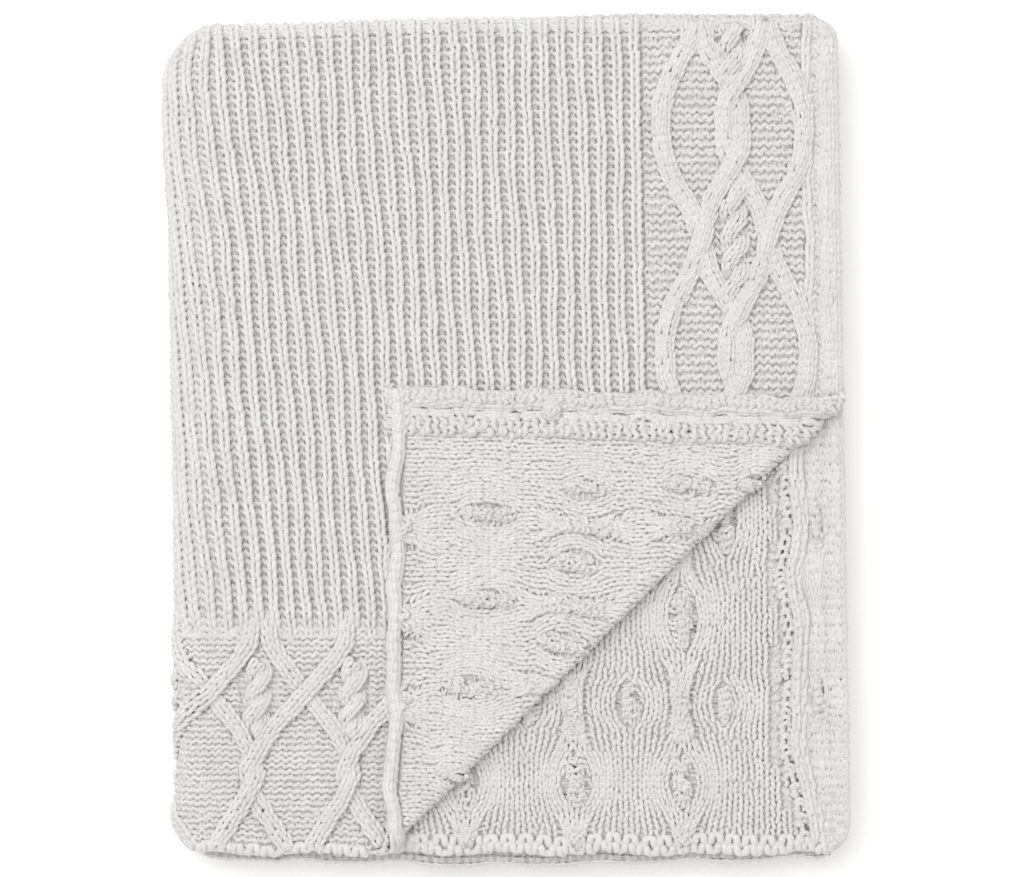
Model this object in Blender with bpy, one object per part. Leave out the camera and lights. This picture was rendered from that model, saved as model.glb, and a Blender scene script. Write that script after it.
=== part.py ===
"""Knit bed runner: one thick knitted cloth, folded into a stack with one corner turned back.

The cloth is first a flat slab. Its faces are cut into a grid where ribs and cables rise, the grid
is raised, and the slab is then bent: doubled over a fold at the far end, rolled up sideways into
four doubled runs, and turned back at the near right corner.

Flat cloth: u runs along it from the free side edge, v across it from the hem, w through it with
its right side at +w. Folded cloth: +X right, +Y away, +Z up, standing on Z = 0.
"""

import math

import bmesh
import bpy
from mathutils import Matrix, Vector

# Driving dimensions, in metres
THICKNESS = 0.0032
LAYER_PITCH = 0.0044
PAIR_PITCH = 2 * LAYER_PITCH
OUTER_RADIUS = 1.5 * PAIR_PITCH
INNER_RADIUS = 0.5 * PAIR_PITCH
TOP_RUN = 0.385
BOTTOM_RUN = 0.378
MIDDLE_RUN = 0.375
LAST_RUN = 0.381
HALF_WIDTH = 0.4955
RIGHT_EDGE = 0.2012
NEAR_EDGE = -0.2478
SLANT = 0.016

# The turned-back corner
CREASE_POINT = Vector((0.0560, -0.1120))
CREASE_ANGLE = math.radians(44.3)
CREASE_RADIUS = 0.0034
CORNER_LEG = 0.2760
FLAP_REST = 0.0047
FLAP_SETTLES_OVER = 0.0500
CREASE_CLEAR = 0.0060
PATTERN_RISES_OVER = 0.0100

# The knitted pattern
SIDE_BAND = 0.1150
HEM_BAND = 0.1314
RIB_PITCH = 0.0103
RIB_HEIGHT = 0.0020
STRAND_HALF_WIDTH = 0.0068
STRAND_HEIGHT = 0.0032
BAND_MIDDLE = 0.0618
BAND_PERIOD = 0.1350
BAND_CROSSING = 0.3678
CROSSING_OFFSET = 0.0198
OUTER_SWING = 0.0240
INNER_SWING = 0.0144
INNER_REACHES = 0.84
LATTICE_PITCH = 0.0588
LATTICE_START = 0.3498
LATTICE_MERGED = (0.0246, 0.0588)
LATTICE_HEM_SPREAD = 0.35
EYE = (0.0085, 0.0024)
PUFF = (0.0170, 0.0013)
PUFF_OFFSET = 0.0280
EDGE_ROLL = (0.0060, 0.0060, 0.0022)
EDGE_COLUMN = (0.0180, 0.0050, 0.0020)
SCALLOP = 0.0020
SCALLOP_REACH = 0.0300

# How far each run lies from the top one, towards +Y: (place along the cloth, shift)
RUN_SHIFTS = (
    (0.00, 0.0000),
    (0.40, 0.0000),
    (0.60, 0.0016),
    (0.69, 0.0052),
    (0.81, 0.0046),
    (1.00, -0.0015),
    (1.21, -0.0045),
    (1.38, -0.0085),
    (1.60, -0.0035),
)
# The stack's half span and how its corners are rounded: (side in x, side in y, radius)
HALF_SPAN = Vector((0.2025, 0.2500))
CORNERS = ((-1, 1, 0.036), (-1, -1, 0.022), (1, 1, 0.014), (1, -1, 0.022))
MOST_PAST_CORNER = 1.2
# The far fold droops towards the left, and the left fold is drawn in between its ends
DROOP = 0.0040
DRAW = 0.0024

COLOUR = (0.78, 0.76, 0.73, 1.0)

FOLD_LENGTH = math.pi * LAYER_PITCH / 2
WIDTH = 2 * HALF_WIDTH + FOLD_LENGTH
OUTER_TURN = math.pi * OUTER_RADIUS
INNER_TURN = math.pi * INNER_RADIUS
# The section's runs and turns in order from the free side edge: (length, radius), 0 for a straight run
SECTION = (
    (TOP_RUN, 0.0),
    (OUTER_TURN, OUTER_RADIUS),
    (BOTTOM_RUN, 0.0),
    (INNER_TURN, INNER_RADIUS),
    (MIDDLE_RUN, 0.0),
    (INNER_TURN, -INNER_RADIUS),
    (LAST_RUN, 0.0),
)
LENGTH = sum(length for length, _ in SECTION)
TOP_HEIGHT = LAYER_PITCH / 2 + THICKNESS / 2 + 3 * PAIR_PITCH
CREASE_IN = Vector((-math.sin(CREASE_ANGLE), math.cos(CREASE_ANGLE)))
CREASE_LENGTH = math.pi * CREASE_RADIUS
FOLD_MIDDLE = HALF_WIDTH + FOLD_LENGTH / 2
RIBS_FADE_FROM = TOP_RUN + OUTER_TURN / 3
RIBS_END = TOP_RUN + 2 * OUTER_TURN / 3

# Cuts that let the slab bend
OUTER_TURN_STEPS = 10
INNER_TURN_STEPS = 6
FAR_FOLD_STEPS = 6
CREASE_STEPS = 6
CORNER_STEPS = 4
CORNER_REACH = 0.0190
# Spacing of the grids that the pattern is raised on
BAND_CELL = (0.0042, 0.0052)
LATTICE_CELL = (0.0044, 0.0052)
REVERSE_CELL = 0.0075
EDGE_LINES = (0.0055, 0.0115, 0.0180, 0.0240)
RIB_ROWS = 7
RIB_CUTS = (0.0, 0.3, 0.7)
HEM_CELL = 0.0147


def smooth(value):
    """0 below 0, 1 above 1, and an even S between them."""
    t = min(max(value, 0.0), 1.0)
    return t * t * (3 - 2 * t)


def between(table, place):
    """The table's value at this place, straight between its rows."""
    for (a, low), (b, high) in zip(table, table[1:]):
        if place <= b:
            return low + (high - low) * (place - a) / (b - a)
    return table[-1][1]


# Folding


def section(u):
    """Point and right-side normal, in (x, z), of the doubled cloth's middle at u."""
    point = Vector((RIGHT_EDGE, TOP_HEIGHT))
    heading = math.pi
    for length, radius in SECTION:
        step = min(u, length)
        if radius:
            left = Vector((-math.sin(heading), math.cos(heading)))
            centre = point + radius * left
            heading += step / radius
            point = centre - radius * Vector((-math.sin(heading), math.cos(heading)))
        else:
            point = point + step * Vector((math.cos(heading), math.sin(heading)))
        u -= step
        if u <= 0:
            break
    return point, Vector((math.sin(heading), -math.cos(heading)))


def doubled(v, w):
    """(y, height over the middle of the doubled cloth) after the far fold."""
    far = NEAR_EDGE + HALF_WIDTH
    half = LAYER_PITCH / 2
    if v <= HALF_WIDTH:
        return NEAR_EDGE + v, half + w
    turned = (v - HALF_WIDTH) / half
    if turned <= math.pi:
        return far + (half + w) * math.sin(turned), (half + w) * math.cos(turned)
    return far - (v - HALF_WIDTH - FOLD_LENGTH), -half - w


def turned_back(x, y, w):
    """(x, y, lift) of the top layer where its corner is folded over the crease."""
    place = Vector((x, y))
    past = -(place - CREASE_POINT).dot(CREASE_IN)
    if past <= 0:
        return x, y, w
    foot = place + past * CREASE_IN
    if past <= CREASE_LENGTH:
        angle = past / CREASE_RADIUS
        reach = CREASE_RADIUS - w
        flat = foot - reach * math.sin(angle) * CREASE_IN
        return flat.x, flat.y, CREASE_RADIUS - reach * math.cos(angle)
    flat = foot + (past - CREASE_LENGTH) * CREASE_IN
    settled = smooth((past - CREASE_LENGTH) / FLAP_SETTLES_OVER)
    return flat.x, flat.y, 2 * CREASE_RADIUS + settled * (FLAP_REST - 2 * CREASE_RADIUS) - w


def drawn_in(other):
    """How much of its distance along one side a corner's point keeps, this far along the other."""
    return math.sqrt(1 - min(other, MOST_PAST_CORNER) ** 2 / 2)


def rounded(x, y):
    """A place in the stack after its corner has been pressed from a square into a round one."""
    for side_x, side_y, radius in CORNERS:
        centre = Vector((side_x * (HALF_SPAN.x - radius), side_y * (HALF_SPAN.y - radius)))
        dx = side_x * (x - centre.x) / radius
        dy = side_y * (y - centre.y) / radius
        if dx > 0 and dy > 0:
            x = centre.x + side_x * radius * dx * drawn_in(dy)
            y = centre.y + side_y * radius * dy * drawn_in(dx)
    return x, y


def settled(x, y):
    """A place in the stack after its far left part has sagged out of square."""
    droop = DROOP * smooth(-x / 0.17) * smooth((y + 0.02) / 0.24)
    draw = DRAW * smooth(-x / 0.20) * smooth((0.185 - y) / 0.06) * smooth((y + 0.222) / 0.04)
    return x + draw, y - droop


def folded(u, v, w):
    """The place in the stack of a point of the flat cloth."""
    y, height = doubled(v, w)
    if u <= TOP_RUN and v < HALF_WIDTH:
        x, y, lift = turned_back(RIGHT_EDGE - u, y, w)
        z = TOP_HEIGHT + LAYER_PITCH / 2 + lift
    else:
        point, normal = section(u)
        x = point.x + height * normal.x
        z = point.y + height * normal.y
    x, y = settled(*rounded(x, y + between(RUN_SHIFTS, u)))
    return Vector((x - SLANT * y, y, z))


# The knitted pattern, as heights over the plain cloth


def strand(distance):
    """Rounded section of a raised cable strand."""
    if distance >= STRAND_HALF_WIDTH:
        return 0.0
    return STRAND_HEIGHT * (0.5 + 0.5 * math.cos(math.pi * distance / STRAND_HALF_WIDTH))


def off_repeat(value):
    """Distance, in repeats, from the nearest whole number."""
    return abs(value - round(value))


def side_cable(u, v):
    """Four strands that cross in pairs at the sides, then meet in the middle."""
    swing = abs(math.sin(math.pi * (v - BAND_CROSSING) / BAND_PERIOD))
    off = abs(u - BAND_MIDDLE)
    outer = CROSSING_OFFSET + OUTER_SWING * swing
    inner = CROSSING_OFFSET - INNER_SWING * min(1.0, swing / INNER_REACHES)
    return max(strand(abs(off - outer)), strand(abs(off - inner)))


def lattice_spread(v):
    """How far, in repeats, a hem strand has swung from the place where it is merged."""
    low, high = LATTICE_MERGED
    if v < low:
        return LATTICE_HEM_SPREAD * (low - v) / low
    return max(0.0, (v - high) / (HEM_BAND - high))


def hem_cable(u, v):
    """Strands that leave the ribs in pairs, cross their neighbours and merge over the hem."""
    repeat = (u - LATTICE_START) / LATTICE_PITCH
    spread = lattice_spread(v)
    nearest = min(off_repeat(repeat + spread), off_repeat(repeat - spread))
    return strand(nearest * LATTICE_PITCH)


def ribs(u):
    """Knit wales between sunken purl valleys."""
    turn = ((u - SIDE_BAND) / RIB_PITCH) % 1.0
    return RIB_HEIGHT * smooth(min(turn, 1 - turn) / RIB_CUTS[1])


def ridge(distance, line):
    """A soft ridge along an edge: (distance of its middle, half width, height)."""
    middle, half_width, height = line
    off = min(abs(distance - middle) / half_width, 1.0)
    return height * math.cos(math.pi / 2 * off) ** 2


def bare_of_flap(x, y):
    """1 where the top layer is clear of the turned-back corner, 0 under it and at its crease."""
    past = -(Vector((x, y)) - CREASE_POINT).dot(CREASE_IN)
    over = Vector((x, y)) + (2 * past - CREASE_LENGTH) * CREASE_IN
    outside = max(over.x - RIGHT_EDGE, NEAR_EDGE - over.y)
    return 0.0 if past > 0 else smooth(outside / RIB_PITCH)


def right_side(u, v):
    """Height of the knit on the layer that shows on top, and round its left fold."""
    if v > FOLD_MIDDLE or u > RIBS_END:
        return 0.0
    if v < HEM_BAND and u > SIDE_BAND:
        height = hem_cable(u, v)
    elif u < SIDE_BAND:
        height = max(side_cable(u, v), ridge(u, EDGE_ROLL), ridge(u, EDGE_COLUMN))
    else:
        height = ribs(u)
    over_far_fold = 1 - smooth((v - HALF_WIDTH) / (FOLD_MIDDLE - HALF_WIDTH))
    round_left_fold = 1 - smooth((u - RIBS_FADE_FROM) / (RIBS_END - RIBS_FADE_FROM))
    return height * over_far_fold * round_left_fold * bare_of_flap(RIGHT_EDGE - u, NEAR_EDGE + v)


def mound(size, du, dv):
    """A round lump, this far from its middle: size is (radius, height)."""
    radius, height = size
    return height * math.exp(-(du * du + dv * dv) / (radius * radius))


def hem_reverse(u, across):
    """The hem band's reverse: lumps where strands cross or merge, and puffs between them."""
    repeat = (u - LATTICE_START) / LATTICE_PITCH
    merged = off_repeat(repeat) * LATTICE_PITCH
    crossed = off_repeat(repeat + 0.5) * LATTICE_PITCH
    past_crossing = across - (LATTICE_MERGED[1] + HEM_BAND) / 2
    past_merging = across - sum(LATTICE_MERGED) / 2
    lumps = max(mound(EYE, merged, past_merging), mound(EYE, crossed, past_crossing))
    return max(lumps, mound(EYE, merged, past_crossing), mound(PUFF, crossed, past_merging))


def side_reverse(u, across):
    """The side band's reverse, with lumps and puffs in the same way."""
    turn = (across - BAND_CROSSING) / BAND_PERIOD
    side = abs(u - BAND_MIDDLE)
    crossed = off_repeat(turn) * BAND_PERIOD
    merged = off_repeat(turn + 0.5) * BAND_PERIOD
    lumps = max(mound(EYE, side - CROSSING_OFFSET, crossed), mound(EYE, side, merged))
    return max(lumps, mound(PUFF, side - PUFF_OFFSET, merged))


def reverse(u, across):
    """Height of the knit's reverse, across measured from the hem."""
    edges = max(ridge(u, EDGE_ROLL), ridge(u, EDGE_COLUMN), ridge(across, EDGE_ROLL))
    return max(edges, hem_reverse(u, across) if across < HEM_BAND else side_reverse(u, across))


def wrong_side(u, v):
    """Height of the knit on the turned-back corner and on the layer it uncovers."""
    if u > CORNER_LEG or CORNER_LEG < v < WIDTH - CORNER_LEG:
        return 0.0
    across = min(v, WIDTH - v)
    place = Vector((RIGHT_EDGE - u, NEAR_EDGE + across))
    past = -(place - CREASE_POINT).dot(CREASE_IN)
    start = CREASE_LENGTH if v < CORNER_LEG else CREASE_CLEAR
    return reverse(u, across) * smooth((past - start) / PATTERN_RISES_OVER)


def raise_pattern(u, v, w):
    """The point's w after the knitted pattern has lifted it."""
    if w > 0:
        return w + right_side(u, v)
    return w - wrong_side(u, v)


def scalloped(u, v):
    """v with both hems drawn in between the cable columns."""
    from_hem = min(v, WIDTH - v)
    inward = 1 if v < WIDTH / 2 else -1
    wave = 0.5 - 0.5 * math.cos(2 * math.pi * (u - LATTICE_START) / LATTICE_PITCH)
    return v + inward * SCALLOP * wave * max(0.0, 1 - from_hem / SCALLOP_REACH)


# Cutting the slab


def cut(bm, faces, point, normal):
    """Split these faces where a plane crosses them."""
    edges = {edge for face in faces for edge in face.edges}
    verts = {vert for face in faces for vert in face.verts}
    geom = list(verts) + list(edges) + list(faces)
    bmesh.ops.bisect_plane(bm, geom=geom, dist=1e-7, plane_co=point, plane_no=normal)


def faces_in(bm, low, high, side=0):
    """Faces whose middle lies in this part of the flat cloth, on one side of it or (0) on any."""
    found = []
    for face in bm.faces:
        middle = face.calc_center_median()
        inside = low[0] < middle.x < high[0] and low[1] < middle.y < high[1]
        if inside and (side == 0 or face.normal.z * side > 0.5):
            found.append(face)
    return found


def cut_lines(bm, low, high, axis, places, side=0):
    """Straight cuts across one part of the cloth, at these places along an axis."""
    for place in places:
        point = Vector((place, 0, 0)) if axis == 0 else Vector((0, place, 0))
        normal = Vector((1, 0, 0)) if axis == 0 else Vector((0, 1, 0))
        cut(bm, faces_in(bm, low, high, side), point, normal)


def even(start, end, spacing):
    """Places between start and end, evenly spaced and no further apart than this."""
    count = math.ceil((end - start) / spacing)
    return [start + (end - start) * i / count for i in range(1, count)]


def cut_folds(bm):
    """Lines across the whole slab where it bends."""
    low, high = (-1.0, -1.0), (LENGTH + 1, WIDTH + 1)
    start = 0.0
    for length, radius in SECTION:
        if radius:
            steps = OUTER_TURN_STEPS if radius == OUTER_RADIUS else INNER_TURN_STEPS
            cut_lines(bm, low, high, 0, [start + length * i / steps for i in range(steps + 1)])
        start += length
    cut_lines(bm, low, high, 0, [place for place, _ in RUN_SHIFTS[2:-1]])
    rows = [HALF_WIDTH + FOLD_LENGTH * i / FAR_FOLD_STEPS for i in range(FAR_FOLD_STEPS + 1)]
    cut_lines(bm, low, high, 1, rows)


def cut_left_corners(bm):
    """Lines round both left folds near their ends, where the stack's corners are rounded."""
    inner = TOP_RUN + OUTER_TURN + BOTTOM_RUN + INNER_TURN + MIDDLE_RUN
    for start, length in ((TOP_RUN, OUTER_TURN), (inner, INNER_TURN)):
        low, high = start - CORNER_REACH, start + length + CORNER_REACH
        cut_lines(bm, (-1.0, -1.0), (LENGTH + 1, WIDTH + 1), 0, [low, high])
        for _, side_y, radius in CORNERS[:2]:
            for step in range(1, CORNER_STEPS + 1):
                inward = radius * step / CORNER_STEPS
                first = HALF_WIDTH - inward if side_y > 0 else inward
                cut_lines(bm, (low, -1.0), (high, WIDTH + 1), 1, [first, WIDTH - first])


def cut_crease(bm):
    """Lines along the corner's crease, through the top layer only."""
    flat = Matrix(((-1, 0), (0, 1)))
    normal = flat @ CREASE_IN
    for step in range(CREASE_STEPS + 1):
        place = CREASE_POINT - CREASE_LENGTH * step / CREASE_STEPS * CREASE_IN
        point = Vector((RIGHT_EDGE - place.x, place.y - NEAR_EDGE, 0))
        reach = CORNER_LEG + CREASE_LENGTH
        cut(bm, faces_in(bm, (-1.0, -1.0), (reach, reach)), point, normal.to_3d())


def cut_hems(bm):
    """Short cuts that let both hems of the runs wave."""
    for low, high in ((-1.0, SCALLOP_REACH), (WIDTH - SCALLOP_REACH, WIDTH + 1)):
        edge = high if low < 0 else low
        for start, end in ((0.0, TOP_RUN), (LENGTH - LAST_RUN, LENGTH)):
            cut_lines(bm, (start, -1.0), (end, WIDTH + 1), 1, [edge])
            cut_lines(bm, (start, low), (end, high), 0, even(start, end, HEM_CELL))


def cut_grids(bm):
    """The fine grids that ribs and cables rise on, each on the side where it shows."""
    wraps = RIBS_END
    leg = CORNER_LEG - CREASE_CLEAR
    cut_lines(bm, (-1.0, -1.0), (wraps, FOLD_MIDDLE), 1, [HEM_BAND, leg], side=1)
    cut_lines(bm, (-1.0, -1.0), (wraps, FOLD_MIDDLE), 0, [SIDE_BAND, leg], side=1)
    count = math.ceil((wraps - SIDE_BAND) / RIB_PITCH)
    lines = [SIDE_BAND + RIB_PITCH * (i + part) for i in range(count) for part in RIB_CUTS]
    rows = even(HEM_BAND, HALF_WIDTH, (HALF_WIDTH - HEM_BAND) / RIB_ROWS)
    for low, high in (((SIDE_BAND, leg), (leg, FOLD_MIDDLE)), ((leg, HEM_BAND), (wraps, FOLD_MIDDLE))):
        cut_lines(bm, low, high, 0, [u for u in lines if low[0] < u < high[0]], side=1)
        cut_lines(bm, low, high, 1, [v for v in rows if low[1] < v < high[1]], side=1)
    low, high = (0.0, leg), (SIDE_BAND, FOLD_MIDDLE)
    cut_lines(bm, low, high, 0, even(0.0, SIDE_BAND, BAND_CELL[0]), side=1)
    cut_lines(bm, low, high, 1, even(leg, HALF_WIDTH, BAND_CELL[1]), side=1)
    low, high = (leg, -1.0), (wraps, HEM_BAND)
    cut_lines(bm, low, high, 0, even(leg, wraps, LATTICE_CELL[0]), side=1)
    cut_lines(bm, low, high, 1, even(0.0, HEM_BAND, LATTICE_CELL[1]), side=1)


def cut_reverse(bm):
    """The grids on the turned-back corner and on the layer it uncovers."""
    for from_far_hem in (False, True):
        near, turned = (WIDTH, -1) if from_far_hem else (0.0, 1)
        leg = near + turned * CORNER_LEG
        low = Vector((-1.0, min(near - turned, leg)))
        high = Vector((CORNER_LEG, max(near - turned, leg)))
        over = Vector((CORNER_LEG, WIDTH / 2))
        cut_lines(bm, low, high + over, 1, [leg], side=-1)
        cut_lines(bm, low, high + over, 0, [CORNER_LEG], side=-1)
        normal = Vector((-CREASE_IN.x, turned * CREASE_IN.y, 0))
        start = CREASE_POINT - (0.0 if from_far_hem else CREASE_LENGTH) * CREASE_IN
        start = Vector((RIGHT_EDGE - start.x, near + turned * (start.y - NEAR_EDGE), 0))
        cut(bm, faces_in(bm, low, high, side=-1), start, normal)
        for axis, first in ((0, 0.0), (1, min(near, leg))):
            lines = even(first, first + CORNER_LEG, REVERSE_CELL)
            for place in lines + list(EDGE_LINES if axis == 0 else ()):
                along = Vector((1, 0, 0)) if axis == 0 else Vector((0, 1, 0))
                shown = faces_in(bm, low, high, side=-1)
                past = [f for f in shown if (f.calc_center_median() - start).dot(normal) < 0]
                cut(bm, past, place * along, along)


def knit_runner(collection):
    """The whole cloth, cut flat, raised and folded."""
    bm = bmesh.new()
    bmesh.ops.create_cube(bm, size=1.0)
    bmesh.ops.scale(bm, vec=(LENGTH, WIDTH, THICKNESS), verts=bm.verts)
    bmesh.ops.translate(bm, vec=(LENGTH / 2, WIDTH / 2, 0), verts=bm.verts)
    cut_folds(bm)
    cut_left_corners(bm)
    cut_crease(bm)
    cut_hems(bm)
    cut_grids(bm)
    cut_reverse(bm)
    for vert in bm.verts:
        u, v, w = vert.co
        vert.co = folded(u, scalloped(u, v), raise_pattern(u, v, w))
    bmesh.ops.reverse_faces(bm, faces=bm.faces)
    bmesh.ops.triangulate(bm, faces=bm.faces)
    mesh = bpy.data.meshes.new("knit_runner")
    bm.to_mesh(mesh)
    bm.free()
    mesh.shade_smooth()
    mesh.materials.append(cotton_yarn())
    cloth = bpy.data.objects.new("knit_runner", mesh)
    collection.objects.link(cloth)
    return cloth


def cotton_yarn():
    """Undyed matt cotton yarn."""
    material = bpy.data.materials.new("cotton yarn")
    material.use_nodes = True
    shader = material.node_tree.nodes["Principled BSDF"]
    shader.inputs["Base Color"].default_value = COLOUR
    shader.inputs["Roughness"].default_value = 0.95
    shader.inputs["Metallic"].default_value = 0.0
    return material


def main():
    for old in list(bpy.data.objects):
        bpy.data.objects.remove(old)
    collection = bpy.data.collections.new("knit bed runner")
    bpy.context.scene.collection.children.link(collection)
    knit_runner(collection)


main()
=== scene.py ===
# %% [markdown]
# # A folded cable-knit bed runner
#
# The real thing is one thick cotton knit, about 1.0 m by 1.6 m laid flat. It is folded in half across
# its width, then rolled up sideways into four doubled runs, and one corner of the top layer is turned
# back. The middle is ribbed, and cabled bands run along its side edges and its hems.
#
# A knit is loops of yarn, so this lesson makes it in two layers. First comes a thin sheet that carries
# the folds. Then loops of yarn are laid on it, course by course, wherever the cloth shows.
# Everything is drawn on the flat cloth, and one function folds it.

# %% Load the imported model
import math

import bmesh
import bpy
import numpy as np
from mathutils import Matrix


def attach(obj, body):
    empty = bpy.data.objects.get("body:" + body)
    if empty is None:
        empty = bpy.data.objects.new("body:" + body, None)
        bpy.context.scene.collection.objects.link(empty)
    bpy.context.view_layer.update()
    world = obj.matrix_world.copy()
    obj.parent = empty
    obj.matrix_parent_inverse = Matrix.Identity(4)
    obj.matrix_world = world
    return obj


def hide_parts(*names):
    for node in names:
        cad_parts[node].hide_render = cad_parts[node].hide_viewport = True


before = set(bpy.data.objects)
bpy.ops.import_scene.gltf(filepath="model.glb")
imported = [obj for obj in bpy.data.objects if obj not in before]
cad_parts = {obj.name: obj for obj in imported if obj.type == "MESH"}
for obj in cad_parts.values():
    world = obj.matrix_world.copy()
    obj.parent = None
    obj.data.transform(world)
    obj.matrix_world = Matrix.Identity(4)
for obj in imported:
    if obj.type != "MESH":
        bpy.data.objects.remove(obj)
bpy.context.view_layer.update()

# %% [markdown]
# ## Sizes of the folded cloth
#
# Flat cloth is measured by u, along it from the free side edge, v, across it from the near hem, and w,
# through it with the right side at plus. These sizes are the ones that the solid cloth was folded with,
# so what is laid on the flat cloth here lands on that solid.

# %% Name the folding sizes
LAYER_PITCH = 0.0044
PAIR_PITCH = 2 * LAYER_PITCH
OUTER_RADIUS = 1.5 * PAIR_PITCH
INNER_RADIUS = 0.5 * PAIR_PITCH
TOP_RUN = 0.385
BOTTOM_RUN = 0.378
MIDDLE_RUN = 0.375
LAST_RUN = 0.381
HALF_WIDTH = 0.4955
RIGHT_EDGE = 0.2012
NEAR_EDGE = -0.2478
SLANT = 0.016
FOLD_LENGTH = math.pi * LAYER_PITCH / 2
WIDTH = 2 * HALF_WIDTH + FOLD_LENGTH
TOP_HEIGHT = LAYER_PITCH / 2 + 0.0016 + 3 * PAIR_PITCH
# The section's runs and turns: length, and the turn's radius or 0.
SECTION = (
    (TOP_RUN, 0.0),
    (math.pi * OUTER_RADIUS, OUTER_RADIUS),
    (BOTTOM_RUN, 0.0),
    (math.pi * INNER_RADIUS, INNER_RADIUS),
    (MIDDLE_RUN, 0.0),
    (math.pi * INNER_RADIUS, -INNER_RADIUS),
    (LAST_RUN, 0.0),
)
LENGTH = sum(length for length, _ in SECTION)
CREASE_POINT = (0.0560, -0.1120)
CREASE_ANGLE = math.radians(44.3)
CREASE_IN = (-math.sin(CREASE_ANGLE), math.cos(CREASE_ANGLE))
CREASE_RADIUS = 0.0034
CREASE_LENGTH = math.pi * CREASE_RADIUS
FLAP_REST = 0.0047
FLAP_SETTLES_OVER = 0.0500
# How far each run lies out of line, at places along the cloth.
RUN_PLACES = (0.00, 0.40, 0.60, 0.69, 0.81, 1.00, 1.21, 1.38, 1.60)
RUN_SHIFTS = (0.0, 0.0, 0.0016, 0.0052, 0.0046, -0.0015, -0.0045, -0.0085, -0.0035)
HALF_SPAN = (0.2025, 0.2500)
# The stack's corners: side in x, side in y, radius.
CORNERS = ((-1, 1, 0.036), (-1, -1, 0.022), (1, 1, 0.014), (1, -1, 0.022))
DROOP = 0.0040
DROOP_LEFT = 0.17
DROOP_START = -0.02
DROOP_OVER = 0.24
DRAW = 0.0024
DRAW_LEFT = 0.20
DRAW_ENDS = (0.185, -0.222)
DRAW_FADES = (0.06, 0.04)
SCALLOP = 0.0020
SCALLOP_REACH = 0.0300
SCALLOP_START = 0.3498
SCALLOP_PITCH = 0.0588
print(f"flat cloth: {WIDTH:.3f} m by {LENGTH:.3f} m")

# %% [markdown]
# ## Fold the cloth
#
# Real cloth bends without stretching. A fold is then a change of place: a straight run stays straight,
# and a turn wraps the cloth round a radius. Cloth simulation could fold it too, but a tight stack of
# eight layers is hard to settle, and a formula puts every stitch exactly where the solid has it.


# %% Wrap the cloth through its runs and turns
def left_of(heading):
    """Unit vector to the left of a heading in the section."""
    return np.stack((-np.sin(heading), np.cos(heading)), axis=-1)


def along_section(u):
    """Place (x, z) of the doubled cloth's middle at each u, and the heading there."""
    place = np.zeros((len(u), 2))
    heading = np.zeros(len(u))
    corner = np.array((RIGHT_EDGE, TOP_HEIGHT))
    facing = math.pi
    start = 0.0
    for length, radius in SECTION:
        here = (u >= start) | (start == 0.0)
        step = u[here] - start
        if radius:
            centre = corner + radius * left_of(facing)
            heading[here] = facing + step / radius
            place[here] = centre - radius * left_of(heading[here])
            facing += length / radius
            corner = centre - radius * left_of(facing)
        else:
            ahead = np.array((math.cos(facing), math.sin(facing)))
            heading[here] = facing
            place[here] = corner + step[:, None] * ahead
            corner = corner + length * ahead
        start += length
    return place, heading


end_place, _ = along_section(np.array((LENGTH,)))
print("the last run ends at x and z:", end_place[0].round(4))

# %% [markdown]
# Across its width the cloth has one fold at the far side, and the top layer's near right corner is
# turned back on itself. Both are a wrap round a small radius too: past the fold's line, a place goes
# round by its distance over the radius, and then straight back. The corner ends a little lower than its
# crease, because soft cloth settles.


# %% Fold the cloth in half and turn its corner back
def doubled(v, w):
    """Distance away and height of the cloth after it is folded in half at the far side."""
    half = LAYER_PITCH / 2
    turned = np.clip((v - HALF_WIDTH) / half, 0, math.pi)
    near_part = np.minimum(v - HALF_WIDTH, 0)
    back_part = np.maximum(v - HALF_WIDTH - FOLD_LENGTH, 0)
    y = NEAR_EDGE + HALF_WIDTH + near_part - back_part + (half + w) * np.sin(turned)
    return y, (half + w) * np.cos(turned)


def past_crease(x, y):
    """How far a place on the flat top layer lies beyond the corner's crease."""
    return -((x - CREASE_POINT[0]) * CREASE_IN[0] + (y - CREASE_POINT[1]) * CREASE_IN[1])


def smooth(value):
    """0 below 0, 1 above 1, and an even S between them."""
    t = np.clip(value, 0.0, 1.0)
    return t * t * (3 - 2 * t)


def turned_back(x, y, w):
    """The top layer's place and lift, where its corner is folded over."""
    past = past_crease(x, y)
    angle = np.clip(past / CREASE_RADIUS, 0, math.pi)
    over = np.maximum(past - CREASE_LENGTH, 0)
    reach = CREASE_RADIUS - w
    inward = np.maximum(past, 0) - reach * np.sin(angle) + over
    settled = smooth(over / FLAP_SETTLES_OVER) * (FLAP_REST - 2 * CREASE_RADIUS)
    lift = CREASE_RADIUS - reach * np.cos(angle) + settled
    return x + inward * CREASE_IN[0], y + inward * CREASE_IN[1], lift


print("the far fold reaches y =", round(doubled(HALF_WIDTH + FOLD_LENGTH / 2, 0)[0], 4))

# %% [markdown]
# A stack of real cloth is never square. Its corners are pressed round, its far left part has sagged,
# its lower runs lie a few millimetres out of line, and the cables pull each hem into a soft scallop.
# These are small moves of whole parts, so each is a smooth change of place.


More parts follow.
